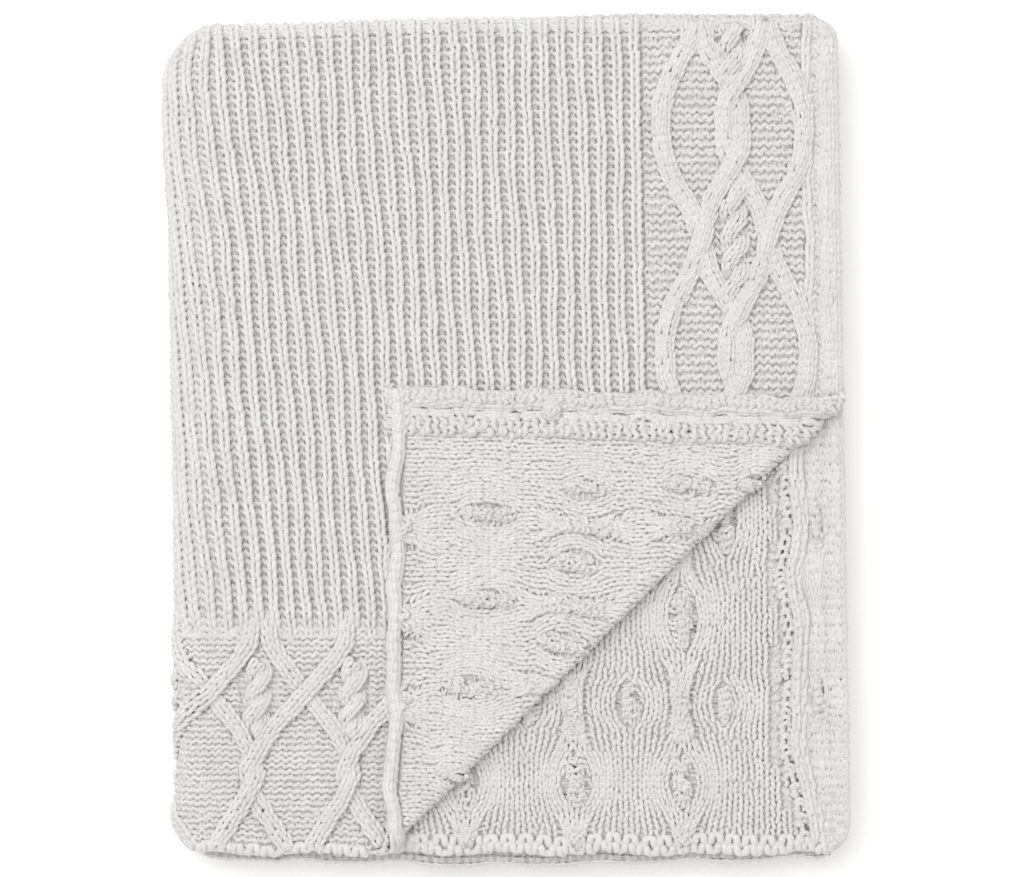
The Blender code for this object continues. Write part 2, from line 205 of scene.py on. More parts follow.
# %% Press the stack out of square
def rounded(x, y):
    """Places in the stack after its square corners are pressed round."""
    for side_x, side_y, radius in CORNERS:
        centre_x = side_x * (HALF_SPAN[0] - radius)
        centre_y = side_y * (HALF_SPAN[1] - radius)
        dx = side_x * (x - centre_x) / radius
        dy = side_y * (y - centre_y) / radius
        inside = (dx > 0) & (dy > 0)
        keep_x = np.sqrt(1 - np.clip(dy, 0, 1.2) ** 2 / 2)
        keep_y = np.sqrt(1 - np.clip(dx, 0, 1.2) ** 2 / 2)
        x = np.where(inside, centre_x + side_x * radius * dx * keep_x, x)
        y = np.where(inside, centre_y + side_y * radius * dy * keep_y, y)
    return x, y


def sagged(x, y):
    """Places in the stack after its far left part has sagged out of square."""
    droop = DROOP * smooth(-x / DROOP_LEFT) * smooth((y - DROOP_START) / DROOP_OVER)
    far_fade = smooth((DRAW_ENDS[0] - y) / DRAW_FADES[0])
    near_fade = smooth((y - DRAW_ENDS[1]) / DRAW_FADES[1])
    return x + DRAW * smooth(-x / DRAW_LEFT) * far_fade * near_fade, y - droop


def scalloped(u, v):
    """v with both hems drawn in between the cable columns."""
    from_hem = np.minimum(v, WIDTH - v)
    inward = np.where(v < WIDTH / 2, 1, -1)
    wave = 0.5 - 0.5 * np.cos(math.tau * (u - SCALLOP_START) / SCALLOP_PITCH)
    return v + inward * SCALLOP * wave * np.maximum(0, 1 - from_hem / SCALLOP_REACH)


print("deepest scallop:", SCALLOP, "m, most sag:", DROOP, "m")


# %% Bend flat points into the stack
def bend(points):
    """Places in the folded stack of points (u, v, w) of the flat cloth."""
    u, v, w = np.asarray(points, float).T
    v = scalloped(u, v)
    y, height = doubled(v, w)
    place, heading = along_section(u)
    x = place[:, 0] + height * np.sin(heading)
    z = place[:, 1] - height * np.cos(heading)
    top = (u <= TOP_RUN) & (v < HALF_WIDTH)
    flap_x, flap_y, lift = turned_back(RIGHT_EDGE - u, y, w)
    x = np.where(top, flap_x, x)
    y = np.where(top, flap_y, y)
    z = np.where(top, TOP_HEIGHT + LAYER_PITCH / 2 + lift, z)
    x, y = sagged(*rounded(x, y + np.interp(u, RUN_PLACES, RUN_SHIFTS)))
    return np.stack((x - SLANT * y, y, z), axis=-1)


print("far left corner:", bend([(TOP_RUN, HALF_WIDTH, 0)]).round(4))

# %% [markdown]
# ## Light, floor and camera
#
# The runner lies on a white table and is seen from straight above. A large soft lamp up and to the
# left, with an even white sky, gives pale stitches and small soft shadows between them. The table is
# one flat white sheet. It glows very faintly, as a lit studio table does, so it stays white up to the
# cloth. It is stage, so it is no part of the model.


# %% Lay the floor
FLOOR_REACH = 4.0


def put_in_scene(name, data):
    """A new object at the origin."""
    new = bpy.data.objects.new(name, data)
    bpy.context.scene.collection.objects.link(new)
    return new


def set_sockets(node, **values):
    """Set a node's sockets by their names, with _ for each space."""
    for socket, value in values.items():
        node.inputs[socket.replace("_", " ")].default_value = value


def set_floor(half_size, glow):
    """A plain white floor under the runner."""
    bm = bmesh.new()
    bmesh.ops.create_grid(bm, x_segments=1, y_segments=1, size=half_size)
    mesh = bpy.data.meshes.new("floor")
    bm.to_mesh(mesh)
    bm.free()
    material = bpy.data.materials.new("white table")
    material.use_nodes = True
    shader = material.node_tree.nodes["Principled BSDF"]
    set_sockets(shader, Base_Color=(1.0, 1.0, 0.995, 1.0), Roughness=0.8)
    set_sockets(shader, Emission_Color=(1.0, 0.995, 0.985, 1.0), Emission_Strength=glow)
    mesh.materials.append(material)
    put_in_scene("floor", mesh)


set_floor(FLOOR_REACH, glow=0.08)
print("floor:", 2 * FLOOR_REACH, "m wide")

# %% Light the stage and set the camera
SENSOR_WIDTH = 36.0


def set_lamp(name, place, size, power):
    """A square soft lamp that faces the middle of the runner."""
    light = bpy.data.lights.new(name, "AREA")
    light.size = size
    light.energy = power
    lamp = put_in_scene(name, light)
    lamp.location = place
    lamp.rotation_mode = "QUATERNION"
    lamp.rotation_quaternion = (-lamp.location).to_track_quat("-Z", "Y")


def set_sky(strength):
    """Even white light from all round."""
    world = bpy.data.worlds.new("studio")
    world.use_nodes = True
    set_sockets(world.node_tree.nodes["Background"], Color=(1.0, 0.998, 0.99, 1.0), Strength=strength)
    bpy.context.scene.world = world


def set_camera(height, frame_width, middle):
    """A long lens that looks straight down on the top layer."""
    data = bpy.data.cameras.new("camera")
    data.sensor_width = SENSOR_WIDTH
    data.lens = SENSOR_WIDTH * (height - TOP_HEIGHT) / frame_width
    data.clip_end = 50.0
    camera = put_in_scene("camera", data)
    camera.location = (*middle, height)
    bpy.context.scene.camera = camera


set_lamp("window", place=(-0.8, 0.9, 2.4), size=2.2, power=35.0)
set_sky(strength=0.80)
set_camera(height=3.0, frame_width=0.612, middle=(0.003, 0.0))
bpy.context.scene.view_settings.view_transform = "Standard"
print("camera at", tuple(bpy.context.scene.camera.location))

# %% [markdown]
# ## The cotton yarn
#
# The yarn is undyed cotton, matt and slightly hairy. Its colour drifts a little from pink to green
# over a few centimetres. Noise in the piece's own space gives the drift and the hair, so the finish
# needs no picture, and it stays on the yarn from every side.


# %% Spin the cotton yarn
def link(tree, source, output, target, socket):
    """Join two shader sockets."""
    tree.links.new(source.outputs[output], target.inputs[socket])


def add_node(tree, kind, **values):
    """A new shader node with some of its sockets set."""
    node = tree.nodes.new("ShaderNode" + kind)
    set_sockets(node, **values)
    return node


def cotton(name, pale, tint, hair_height):
    """Matt cotton: a slow noise drifts its colour, and a fine one flecks it and raises its hair."""
    material = bpy.data.materials.new(name)
    material.use_nodes = True
    tree = material.node_tree
    shader = tree.nodes["Principled BSDF"]
    place = add_node(tree, "TexCoord")
    drift = add_node(tree, "TexNoise", Scale=55.0, Detail=3.0)
    ramp = add_node(tree, "ValToRGB")
    for stop, position, colour in zip(ramp.color_ramp.elements, (0.36, 0.64), (tint, pale)):
        stop.position = position
        stop.color = (*colour, 1.0)
    hair = add_node(tree, "TexNoise", Scale=900.0, Detail=3.0)
    fleck = add_node(tree, "MapRange", From_Min=0.3, From_Max=0.7, To_Min=0.88, To_Max=1.08)
    flecked = add_node(tree, "VectorMath")
    flecked.operation = "SCALE"
    bump = add_node(tree, "Bump", Strength=0.8, Distance=hair_height)
    link(tree, place, "Object", drift, "Vector")
    link(tree, place, "Object", hair, "Vector")
    link(tree, drift, "Fac", ramp, "Fac")
    link(tree, hair, "Fac", fleck, "Value")
    link(tree, ramp, "Color", flecked, 0)
    link(tree, fleck, "Result", flecked, "Scale")
    link(tree, flecked, "Vector", shader, "Base Color")
    link(tree, hair, "Fac", bump, "Height")
    link(tree, bump, "Normal", shader, "Normal")
    set_sockets(shader, Roughness=0.9, Sheen_Weight=0.15, Sheen_Roughness=0.5, Specular_IOR_Level=0.2)
    return material


YARN = cotton("cotton yarn", (0.79, 0.78, 0.76), (0.765, 0.735, 0.725), 0.0006)
# A darker copy of the cotton: painted shade for the sheet that shows in the gaps between the loops.
PAINTED_SHADE = cotton("cotton yarn with painted shade", (0.62, 0.61, 0.595), (0.60, 0.585, 0.575), 0.0004)
print("yarn finishes:", YARN.name, "and", PAINTED_SHADE.name)

# %% [markdown]
# ## Lay yarn along the courses
#
# A hand knitter makes one loop after another along a course, and each loop holds the one below. A
# curve with a small ring as its profile is the natural way to draw yarn: the points follow the loops,
# and the ring gives it thickness. The flat points are bent with the cloth before the curve is made,
# and the curve is turned into a mesh at the end.

# %% Draw the yarn's outline
YARN_RADIUS = 0.00150
RING_AREA = 5 * math.sin(math.tau / 5)


def yarn_ring(radius, sides):
    """The small closed outline of the yarn. With fewer sides it is larger, so its area is the same."""
    curve = bpy.data.curves.new("yarn ring", "CURVE")
    spline = curve.splines.new("POLY")
    spline.points.add(sides - 1)
    reach = radius * math.sqrt(RING_AREA / (sides * math.sin(math.tau / sides)))
    for index, point in enumerate(spline.points):
        angle = math.tau * index / sides
        point.co = (reach * math.cos(angle), reach * math.sin(angle), 0, 1)
    spline.use_cyclic_u = True
    return bpy.data.objects.new("yarn ring", curve)


print("yarn:", 2000 * YARN_RADIUS, "mm thick")

# %% Make a piece from runs of points
FLOOR_ROOM = 1.12


def knit_piece(name, runs, radius=YARN_RADIUS, sides=4):
    """One mesh of yarn that follows runs of flat points (u, v, w), bent with the cloth."""
    places = bend(np.concatenate(runs))
    places[:, 2] = np.maximum(places[:, 2], FLOOR_ROOM * radius)
    curve = bpy.data.curves.new(name, "CURVE")
    curve.dimensions = "3D"
    curve.bevel_mode = "OBJECT"
    curve.bevel_object = yarn_ring(radius, sides)
    curve.use_fill_caps = True
    start = 0
    for run in runs:
        spline = curve.splines.new("POLY")
        spline.points.add(len(run) - 1)
        points = np.ones((len(run), 4), np.float32)
        points[:, :3] = places[start : start + len(run)]
        spline.points.foreach_set("co", points.ravel())
        start += len(run)
    holder = put_in_scene(name + " curve", curve)
    graph = bpy.context.evaluated_depsgraph_get()
    mesh = bpy.data.meshes.new_from_object(holder.evaluated_get(graph))
    bpy.data.objects.remove(curve.bevel_object)
    bpy.data.objects.remove(holder)
    mesh.name = name
    mesh.shade_smooth()
    mesh.materials.clear()
    mesh.materials.append(YARN)
    piece = put_in_scene(name, mesh)
    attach(piece, "root")
    triangles = sum(len(face.vertices) - 2 for face in mesh.polygons)
    print(f"{name}: {len(runs)} lengths of yarn, {triangles} triangles")


# %% [markdown]
# ## Knit and purl
#
# A knit stitch shows its two legs, and a purl stitch is the same loop seen from behind, so it shows the
# top and bottom arcs as a pearl. One formula makes both: the loop goes across by its angle, up and down
# by a cosine, and in and out by a cosine of twice the angle. Turning the last one round gives purl. A
# little seeded unevenness keeps the rows from looking machined.

# %% Work a field of stitches
LOOP_STEPS = 8
LOOP_ANGLES = math.tau * np.arange(LOOP_STEPS) / LOOP_STEPS
STITCH_WIDTH = 0.006
LONE_ROW = 0.0050
shake = np.random.default_rng(11)


def runs_shown(points, shown):
    """Cut each course where stitches are hidden. Points are (course, stitch, step, 3)."""
    runs = []
    for course, visible in zip(points, shown):
        edges = np.flatnonzero(np.diff(np.concatenate(([0], visible.astype(int), [0]))))
        for first, last in zip(edges[::2], edges[1::2]):
            runs.append(course[first:last].reshape(-1, 3))
    return runs


def work_field(starts, widths, faces, rows, place, height, shown, look, side=1):
    """Courses of loops. look is (tall, deep, lean, uneven), faces 1 for knit and -1 for purl."""
    tall, deep, lean, uneven = look
    widths = widths + np.zeros(len(starts))
    gaps = np.gradient(rows) if len(rows) > 1 else np.array([LONE_ROW])
    tall = tall * gaps[:, None, None]
    size = (len(rows), len(starts), 1)
    across = starts[None, :, None] + shake.normal(0, uneven, size) * widths.mean() / STITCH_WIDTH
    turn = (LOOP_ANGLES + lean * np.sin(2 * LOOP_ANGLES)) / math.tau
    a = across + widths[None, :, None] * turn
    b = rows[:, None, None] + shake.normal(0, uneven, size) - tall * np.cos(LOOP_ANGLES)
    u, v = place(a, b)
    facing = np.broadcast_to(faces, size[:2])[:, :, None]
    out = height(u, v, a) - facing * deep * np.cos(2 * LOOP_ANGLES)
    out = out + shake.normal(0, uneven / 2, size)
    middle = place(starts[None, :] + widths / 2 + 0 * rows[:, None], rows[:, None] + 0 * starts)
    points = np.stack((u, v, side * out), axis=-1)
    return runs_shown(points, shown(*middle))


def straight(a, b):
    """Stitches that lie square on the cloth."""
    return a, b


print("steps in a loop:", LOOP_STEPS)

# %% [markdown]
# The turned-back corner hides part of the top layer. Stitches there would never be seen and would
# poke through, so they are left out from a finger's width inside the corner's outline.


# %% Find what the corner hides
def past_corner(u, v):
    """How far beyond the corner's crease a flat place of the top layer lies."""
    return past_crease(RIGHT_EDGE - u, NEAR_EDGE + v)


def under_flap(u, v):
    """How deep inside the turned-back corner's outline a place of the top layer is, or less than 0."""
    x = RIGHT_EDGE - u
    y = NEAR_EDGE + v
    past = past_crease(x, y)
    over_x = x + (2 * past - CREASE_LENGTH) * CREASE_IN[0]
    over_y = y + (2 * past - CREASE_LENGTH) * CREASE_IN[1]
    covered = np.minimum(RIGHT_EDGE - over_x, over_y - NEAR_EDGE)
    return np.where(past > 0, 1.0, covered)


UNDER_FLAP = 0.0120


def top_shown(u, v):
    """Whether the right side of the top layer shows here."""
    return under_flap(u, v) < UNDER_FLAP


print("the top layer's stitches end", UNDER_FLAP, "m inside the corner's outline")

# %% [markdown]
# ## The ribbed middle
#
# Ribbing is a raised column of knit beside a sunken column of purl. The cloth is pulled a little tighter
# towards the hem, so the ribs spread like a fan from the hem to the far fold. The ribs run on round the
# left fold. A rib is counted in whole numbers here, and one function gives its place.

# %% Set out the ribs
SIDE_BAND = 0.1150
HEM_BAND = 0.1314
RIB_PITCH = 0.00965
RIB_SPREAD = 0.00324
RIB_ROW = 0.0050
RIB_HEIGHT = 0.0036
KNIT_SHARE = 0.64
RIB_SHOULDER = 0.16
RIB_RISES_OVER = 0.012
RIB_FLATTENS = 0.45
PLAIN_HEIGHT = 0.0006
RIB_COUNT = 34
FOLD_STRETCH = 1.35
RIBS_WRAP = 0.0380
FOLD_ROW = 0.42
FOLD_SINK = 0.75
FOLD_EASE = 0.0040


def over_fold(rows_end, row):
    """Rows from here over the far fold, closer where the cloth's outside is stretched."""
    flat = np.arange(rows_end, HALF_WIDTH, row)
    turned = flat[-1] + row * 0.5 + np.arange(0, FOLD_LENGTH, row * FOLD_ROW)
    return np.concatenate((flat, turned))


def sinks_over_fold(v):
    """How much of its relief the knit keeps as it goes over the far fold."""
    return 1 - FOLD_SINK * smooth((v - HALF_WIDTH + FOLD_EASE) / (2 * FOLD_EASE))


def rib_place(a, b):
    """Flat place of a rib number and a distance from the hem. Hand knitting lets ribs wander."""
    slow = 0.0007 * np.sin(math.tau * (b / 0.170 + 0.11 * a))
    quick = 0.0004 * np.sin(math.tau * (b / 0.061 - 0.23 * a + 0.3))
    wander = (slow + quick) * smooth((b - HEM_BAND) / 0.030) * smooth(a / 1.5)
    u = SIDE_BAND + a * (RIB_PITCH + RIB_SPREAD * (b - HEM_BAND)) + wander
    return np.where(u > TOP_RUN, TOP_RUN + (u - TOP_RUN) / FOLD_STRETCH, u), b + 0 * a


def rib_height(u, v, a):
    """Raised in the middle of each knit column and sunk between them."""
    part = np.abs((a % 1.0) - 0.5) / 0.5
    raised = smooth((KNIT_SHARE + RIB_SHOULDER - part) / (2 * RIB_SHOULDER))
    rises = 0.05 + 0.95 * smooth((v - HEM_BAND) / RIB_RISES_OVER)
    settles = 1 - RIB_FLATTENS * smooth((u - TOP_RUN + 0.0250) / 0.0300)
    return 0.0002 + RIB_HEIGHT * raised * rises * settles * sinks_over_fold(v)


print("ribs:", RIB_COUNT, "and rib pitch at the hem:", RIB_PITCH, "m")

# %% Knit the ribs
rib_middles = np.arange(RIB_COUNT) + 0.5
rib_starts = np.stack((rib_middles - KNIT_SHARE / 2, rib_middles + KNIT_SHARE / 2), axis=-1).ravel()
rib_widths = np.tile((KNIT_SHARE, 1 - KNIT_SHARE), RIB_COUNT)
rib_faces = np.tile((1, -1), RIB_COUNT)
rib_rows = over_fold(HEM_BAND, RIB_ROW)
RIB_LOOK = (0.66, 0.0008, 1.22, 0.00024)


def rib_shown(u, v):
    """Ribs show on the top layer and round the left fold."""
    return top_shown(u, v) & (u < TOP_RUN + RIBS_WRAP)


def work_ribs(first, last):
    """The ribs from one number to another."""
    chosen = slice(2 * first, 2 * last)
    parts = (rib_starts[chosen], rib_widths[chosen], rib_faces[chosen])
    return work_field(*parts, rib_rows, rib_place, rib_height, rib_shown, RIB_LOOK)


RIB_YARN = 0.00172
knit_piece("ribs_right", work_ribs(0, 14), RIB_YARN, sides=5)
knit_piece("ribs_left", work_ribs(14, 23), RIB_YARN, sides=5)
knit_piece("ribs_round_fold", work_ribs(23, RIB_COUNT), radius=0.00185)

# %% [markdown]
# The loops of a real rib pack together, and no gap shows between a column's two legs. One thick yarn
# laid behind each column fills it, for far fewer faces than closer loops would take.

# %% Fill the ribs
CORE_STEP = 0.0150
CORE_ENDS = np.array((0.0, 0.0035))
CORE_DEPTH = 0.0024


def rib_cores():
    """A thick filling behind the legs of each knit column."""
    runs = []
    b = np.concatenate((np.arange(HEM_BAND, HALF_WIDTH, CORE_STEP), HALF_WIDTH + CORE_ENDS))
    for middle in rib_middles:
        a = middle + 0 * b
        u, v = rib_place(a, b)
        keep = rib_shown(u, v)
        if keep.sum() > 1:
            runs.append(np.stack((u, v, rib_height(u, v, a) - CORE_DEPTH), axis=-1)[keep])
    return runs


knit_piece("rib_cores", rib_cores(), radius=0.0021)

# %% [markdown]
# ## Raised strands
#
# A cable is a group of knit columns that travels over the purl ground and changes places with its
# neighbour. A strand is worked as short courses across a path, so its stitches lean with it. Where two
# strands cross, one is lifted over the other. The paths are charted, as a knitter's chart is.


# %% Work a strand along a path
def work_strand(path, lift, wales, width, row, look, shown, side=1, face=1, crown=0.0020):
    """Short courses across a path of flat points (u, v), lift above the cloth along it."""
    tall, deep, lean, uneven = look
    steps = np.diff(path, axis=0)
    along = np.concatenate(([0], np.cumsum(np.hypot(steps[:, 0], steps[:, 1]))))
    rows = np.arange(row, along[-1] - row / 2, row)
    turn = (LOOP_ANGLES + lean * np.sin(2 * LOOP_ANGLES)) / math.tau
    a = (np.arange(wales)[None, :, None] + turn) * width / wales - width / 2
    a = a + shake.normal(0, uneven, (len(rows), wales, 1))
    b = rows[:, None, None] - tall * row * np.cos(LOOP_ANGLES) + 0 * a
    b = b + shake.normal(0, uneven, (len(rows), wales, 1))
    du = np.interp(b + row / 2, along, path[:, 0]) - np.interp(b - row / 2, along, path[:, 0])
    dv = np.interp(b + row / 2, along, path[:, 1]) - np.interp(b - row / 2, along, path[:, 1])
    size = np.hypot(du, dv)
    on_path = size > 0
    size = np.where(on_path, size, 1.0)
    u = np.interp(b, along, path[:, 0]) + a * dv / size
    v = np.interp(b, along, path[:, 1]) - a * du / size
    out = np.interp(b, along, lift) + crown * np.cos(math.pi * a / width)
    out = out - face * deep * np.cos(2 * LOOP_ANGLES)
    points = np.stack((u, v, side * out * np.ones_like(u)), axis=-1)
    return runs_shown(points, shown(u.mean(axis=2), v.mean(axis=2)) & on_path.all(axis=2))


def clear_of(strands, u, v, reach):
    """Whether places are further than reach from every strand's path, so the ground shows there."""
    clear = np.ones(u.shape, bool)
    for path, _ in strands:
        for near_u, near_v in path[::4]:
            clear &= np.hypot(u - near_u, v - near_v) > reach
    return clear


def softened(values, spread=9):
    """A path's offsets with their corners rounded."""
    padded = np.pad(values, spread // 2, mode="edge")
    return np.convolve(padded, np.ones(spread) / spread, mode="valid")


STRAND_LOOK = (0.68, 0.0010, 1.42, 0.00040)
STRAND_WIDTH = 0.0114
STRAND_ROW = 0.0047
STRAND_LIFT = 0.0024
CROSS_LIFT = 0.0019
STRAND_ROOM = 0.0036
print("a crossing is", 2 * CROSS_LIFT, "m from its upper to its lower strand")

# %% [markdown]
# ## The cable band along the side
#
# Four strands run the length of the band. At each side two of them cross, and in the middle the inner
# two cross, run side by side and cross back. So the ground shows as tall ovals outside and as a small
# diamond with a twisted rope in the middle. Every crossing goes up to the right.

# %% Chart the side band
BAND_MIDDLE = 0.0618
BAND_PERIOD = 0.1350
BAND_CROSSING = 0.3668
BAND_START = 0.262
PHASES = (0.0, 0.07, 0.147, 0.20, 0.28, 0.39, 0.50)
OUTER_OFFSETS = (0.0198, 0.0226, 0.0266, 0.0310, 0.0370, 0.0420, 0.0432)
INNER_PHASES = (0.0, 0.07, 0.147, 0.20, 0.27, 0.34, 0.41, 0.50)
INNER_OFFSETS = (0.0198, 0.0176, 0.0148, 0.0112, 0.0056, 0.0, -0.0050, -0.0050)


def bell(place, middle, width):
    """1 at the middle, fading to nothing a few widths away."""
    return np.exp(-(((place - middle) / width) ** 2))


def side_strand(v, side, first):
    """Path and lift of one strand: side 1 for the left pair, first says which of the pair."""
    turn = (v - BAND_CROSSING) / BAND_PERIOD
    phase = np.abs(turn - np.round(turn))
    outer = (np.floor(turn).astype(int) % 2 == 0) == first
    offset = np.interp(phase, PHASES, OUTER_OFFSETS)
    inner = np.interp(phase, INNER_PHASES, INNER_OFFSETS)
    offset = softened(np.where(outer, offset, inner))
    rising = turn - np.round(turn)
    over_side = np.where(outer == (rising < 0), 1, -1) * side * bell(phase, middle=0, width=0.055)
    middle_way = np.where(rising > 0, 1, -1) * side
    over_middle = np.where(outer, 0, middle_way) * bell(phase, middle=0.34, width=0.05)
    lift = STRAND_LIFT + CROSS_LIFT * (over_side + over_middle)
    path = np.stack((BAND_MIDDLE + side * offset, v), axis=-1)
    return path, lift * sinks_over_fold(v)


band_v = np.arange(BAND_START, HALF_WIDTH + FOLD_LENGTH / 2, 0.001)
side_strands = [side_strand(band_v, side, first) for side in (1, -1) for first in (True, False)]
print("strands in the side band:", len(side_strands))

# %% [markdown]
# A small rope is two yarns that wind round each other. Seen from above, each swings across by a cosine,
# and it rises and dips by a sine, half a turn behind the other.

# %% Twist the small ropes
ROPE_DEPTH = 0.0026
ROPE_REACH = 0.27


def rope(middle, low, high, twist, width, lift):
    """Paths and lifts of the two yarns of a small twisted rope."""
    v = np.arange(low, high, 0.001)
    turn = math.tau * (v - (low + high) / 2) / twist
    made = []
    for start in (0, math.pi):
        u = middle(v) + width * np.cos(turn + start)
        made.append((np.stack((u, v), axis=-1), lift + ROPE_DEPTH * np.sin(turn + start)))
    return made


side_ropes = []
for crossing in (BAND_CROSSING, BAND_CROSSING + BAND_PERIOD):
    low = crossing - ROPE_REACH * BAND_PERIOD
    high = min(crossing + ROPE_REACH * BAND_PERIOD, HALF_WIDTH)
    side_ropes += rope(lambda v: BAND_MIDDLE + 0 * v, low, high, twist=0.0330, width=0.0044, lift=0.0020)
print("rope yarns in the side band:", len(side_ropes))

# %% Knit the side band
GROUND_LOOK = (0.72, 0.0014, 1.10, 0.00044)
ROPE_LOOK = (0.70, 0.0010, 1.35, 0.00050)
BAND_WALE = 0.00505
BAND_ROW = 0.0050


def plain_height(u, v, a):
    """The level of plain ground."""
    return PLAIN_HEIGHT * sinks_over_fold(v) + 0 * u


def side_ground_shown(u, v):
    """The purl ground shows between the strands."""
    clear = clear_of(side_strands, u, v, STRAND_ROOM) & clear_of(side_ropes, u, v, reach=0.0026)
    return top_shown(u, v) & clear


band_starts = np.arange(0.0200, SIDE_BAND, BAND_WALE)
band_rows = over_fold(BAND_START, BAND_ROW)
side_ground = work_field(
    band_starts, BAND_WALE, -1, band_rows, straight, plain_height, side_ground_shown, GROUND_LOOK
)
knit_piece("side_band_ground", side_ground, radius=0.00168)

side_cable = []
for path, lift in side_strands:
    side_cable += work_strand(path, lift, 3, STRAND_WIDTH, STRAND_ROW, STRAND_LOOK, top_shown)
for path, lift in side_ropes:
    side_cable += work_strand(path, lift, 2, width=0.0090, row=0.0046, look=ROPE_LOOK, shown=top_shown)
knit_piece("side_band_cables", side_cable, radius=0.00148)

# %% [markdown]
# ## The free side edge
#
# A straight knit column guards the edge, and past it the cloth rolls over in a smooth tube. The roll
# is three columns of long stitches on a rounded height.

# %% Knit the side edge
ROLL_HEIGHT = 0.0022
COLUMN_HEIGHT = 0.0018


def dome(place, middle, half_width):
    """1 at the middle, and a round arch down to 0 at half the width."""
    return np.cos(np.clip((place - middle) / half_width, -1, 1) * math.pi / 2)


def ripple(place, *waves):
    """Soft waves along a place. A wave is (height, length, start)."""
    return sum(height * np.sin(math.tau * place / length + start) for height, length, start in waves)


def edge_height(u, v, a):
    """The roll rises at the edge, and the column stands beside it."""
    roll = ROLL_HEIGHT * dome(u, middle=0.0055, half_width=0.0075)
    column = COLUMN_HEIGHT * bell(u, middle=0.0170, width=0.0035)
    return PLAIN_HEIGHT * sinks_over_fold(v) + np.maximum(roll, column) * sinks_over_fold(v)


def wandering_edge(a, b):
    """The edge column sways a little on the soft roll."""
    sway = ripple(b, (0.0009, 0.064, 0.5), (0.0005, 0.025, 0))
    return a + sway * smooth((a - 0.002) / 0.010), b


edge_starts = np.array((-0.0010, 0.0030, 0.0070, 0.0108, 0.0148))
edge_widths = np.array((0.0040, 0.0040, 0.0038, 0.0040, 0.0052))
edge_faces = np.array((1, 1, 1, -1, 1))
edge_rows = over_fold(BAND_START, row=0.0052)
EDGE_LOOK = (0.76, 0.0006, 1.1, 0.00034)
SMOOTH_LOOK = (0.78, 0.0002, 0.6, 0.00030)
side_edge = work_field(
    edge_starts, edge_widths, edge_faces, edge_rows, wandering_edge, edge_height, top_shown, EDGE_LOOK
)
knit_piece("side_edge", side_edge, radius=0.0018)

# %% [markdown]
# ## The cable band over the hem
#
# Here strands leave the ribs in pairs, cross their neighbours, meet and twist twice over the hem, and
# part again. The same short chart serves every column: how far a strand is from its column, in repeats,
# at each distance from the hem. The other strand of the pair mirrors it. Beside each rope the ground is
# pulled open, so its floats lie bare there.

# %% Chart the hem band
HEM_PITCH = 0.0582
HEM_COLUMNS = (0, 1, -1)
ROPE_COLUMNS = (0, -1, 1)
COLUMN_ROWS = (0.0, 0.0486, 0.125)
COLUMN_PLACES = (0.3569, 0.3574, 0.3517)
CHART_ROWS = (-0.004, 0.012, 0.028, 0.039, 0.047, 0.056, 0.064, 0.075, 0.0954, 0.118, 0.128, 0.150)
CHART_OFFSETS = (-0.42, -0.27, -0.10, 0.0, 0.055, 0.0, -0.07, -0.19, -0.50, -0.82, -0.905, -0.925)
# Crossings: distance from the hem, length, and 1 where the strand up to the right is on top.
HEM_CROSSINGS = ((0.0954, 0.009, 1), (0.058, 0.006, 1), (0.036, 0.010, -1))


def hem_column(v):
    """Flat place of the first column, which leans a little towards the hem."""
    return np.interp(v, COLUMN_ROWS, COLUMN_PLACES)


def hem_strand(column, way):
    """Path and lift of a strand: way 1 for the one that goes up to the right."""
    v = np.arange(-0.001, 0.1470, 0.001)
    offset = softened(np.interp(v, CHART_ROWS, CHART_OFFSETS), 7)
    u = hem_column(v) + HEM_PITCH * (column + way * offset)
    over = sum(on_top * bell(v, place, length) for place, length, on_top in HEM_CROSSINGS)
    lift = STRAND_LIFT + CROSS_LIFT * way * over
    sinks = (0.55 + 0.45 * smooth((v + 0.001) / 0.012)) * (1 - smooth((v - 0.126) / 0.020))
    return np.stack((u, v), axis=-1), lift * sinks


hem_strands = [hem_strand(column, way) for column in HEM_COLUMNS for way in (1, -1)]
hem_ropes = []
for column in ROPE_COLUMNS:
    middle = lambda v, column=column: hem_column(v) + HEM_PITCH * column
    hem_ropes += rope(middle, low=0.0690, high=0.1170, twist=0.0290, width=0.0041, lift=0.0018)
print("strands in the hem band:", len(hem_strands))

# %% Lay bare floats beside the ropes
HEM_ROW = 0.0037
LADDER_ROWS = np.arange(0.0775, 0.1080, HEM_ROW)
LADDER_STEPS = np.arange(9)
LADDER_REACH = 0.0126


def hem_shown(u, v):
    """The hem band shows left of the turned-back corner and round the left fold."""
    return top_shown(u, v) & (u < TOP_RUN + RIBS_WRAP) & (u > SIDE_BAND)


def rope_ladders():
    """Bare floats beside the ropes, where the ground is pulled open."""
    floats = []
    reach = np.linspace(-LADDER_REACH, LADDER_REACH, len(LADDER_STEPS))
    for column in ROPE_COLUMNS:
        for row in LADDER_ROWS:
            across = hem_column(row) + HEM_PITCH * column + reach
            float_v = row + 0.0007 * np.sin(LADDER_STEPS * 2.1 + 40 * row)
            if hem_shown(across, float_v).all():
                floats.append(np.stack((across, float_v, 0.0002 + 0 * across), axis=-1))
    return floats


hem_floats = rope_ladders()
print("floats beside the ropes:", len(hem_floats))

# %% Knit the hem band's ground
HEM_GROUND_LOOK = (0.72, 0.0011, 1.00, 0.00042)
HEM_WALE = 0.0056
ROPE_MIDDLE = slice(8, -10)
CLOSER_FROM = 0.0100


def hem_ground_shown(u, v):
    """The purl ground shows between the strands."""
    ladders = [(path[ROPE_MIDDLE], lift) for path, lift in hem_ropes if path[0, 0] < TOP_RUN]
    clear = clear_of(hem_strands, u, v, STRAND_ROOM) & clear_of(hem_ropes, u, v, reach=0.0030)
    return hem_shown(u, v) & clear & clear_of(ladders, u, v, reach=0.0068)


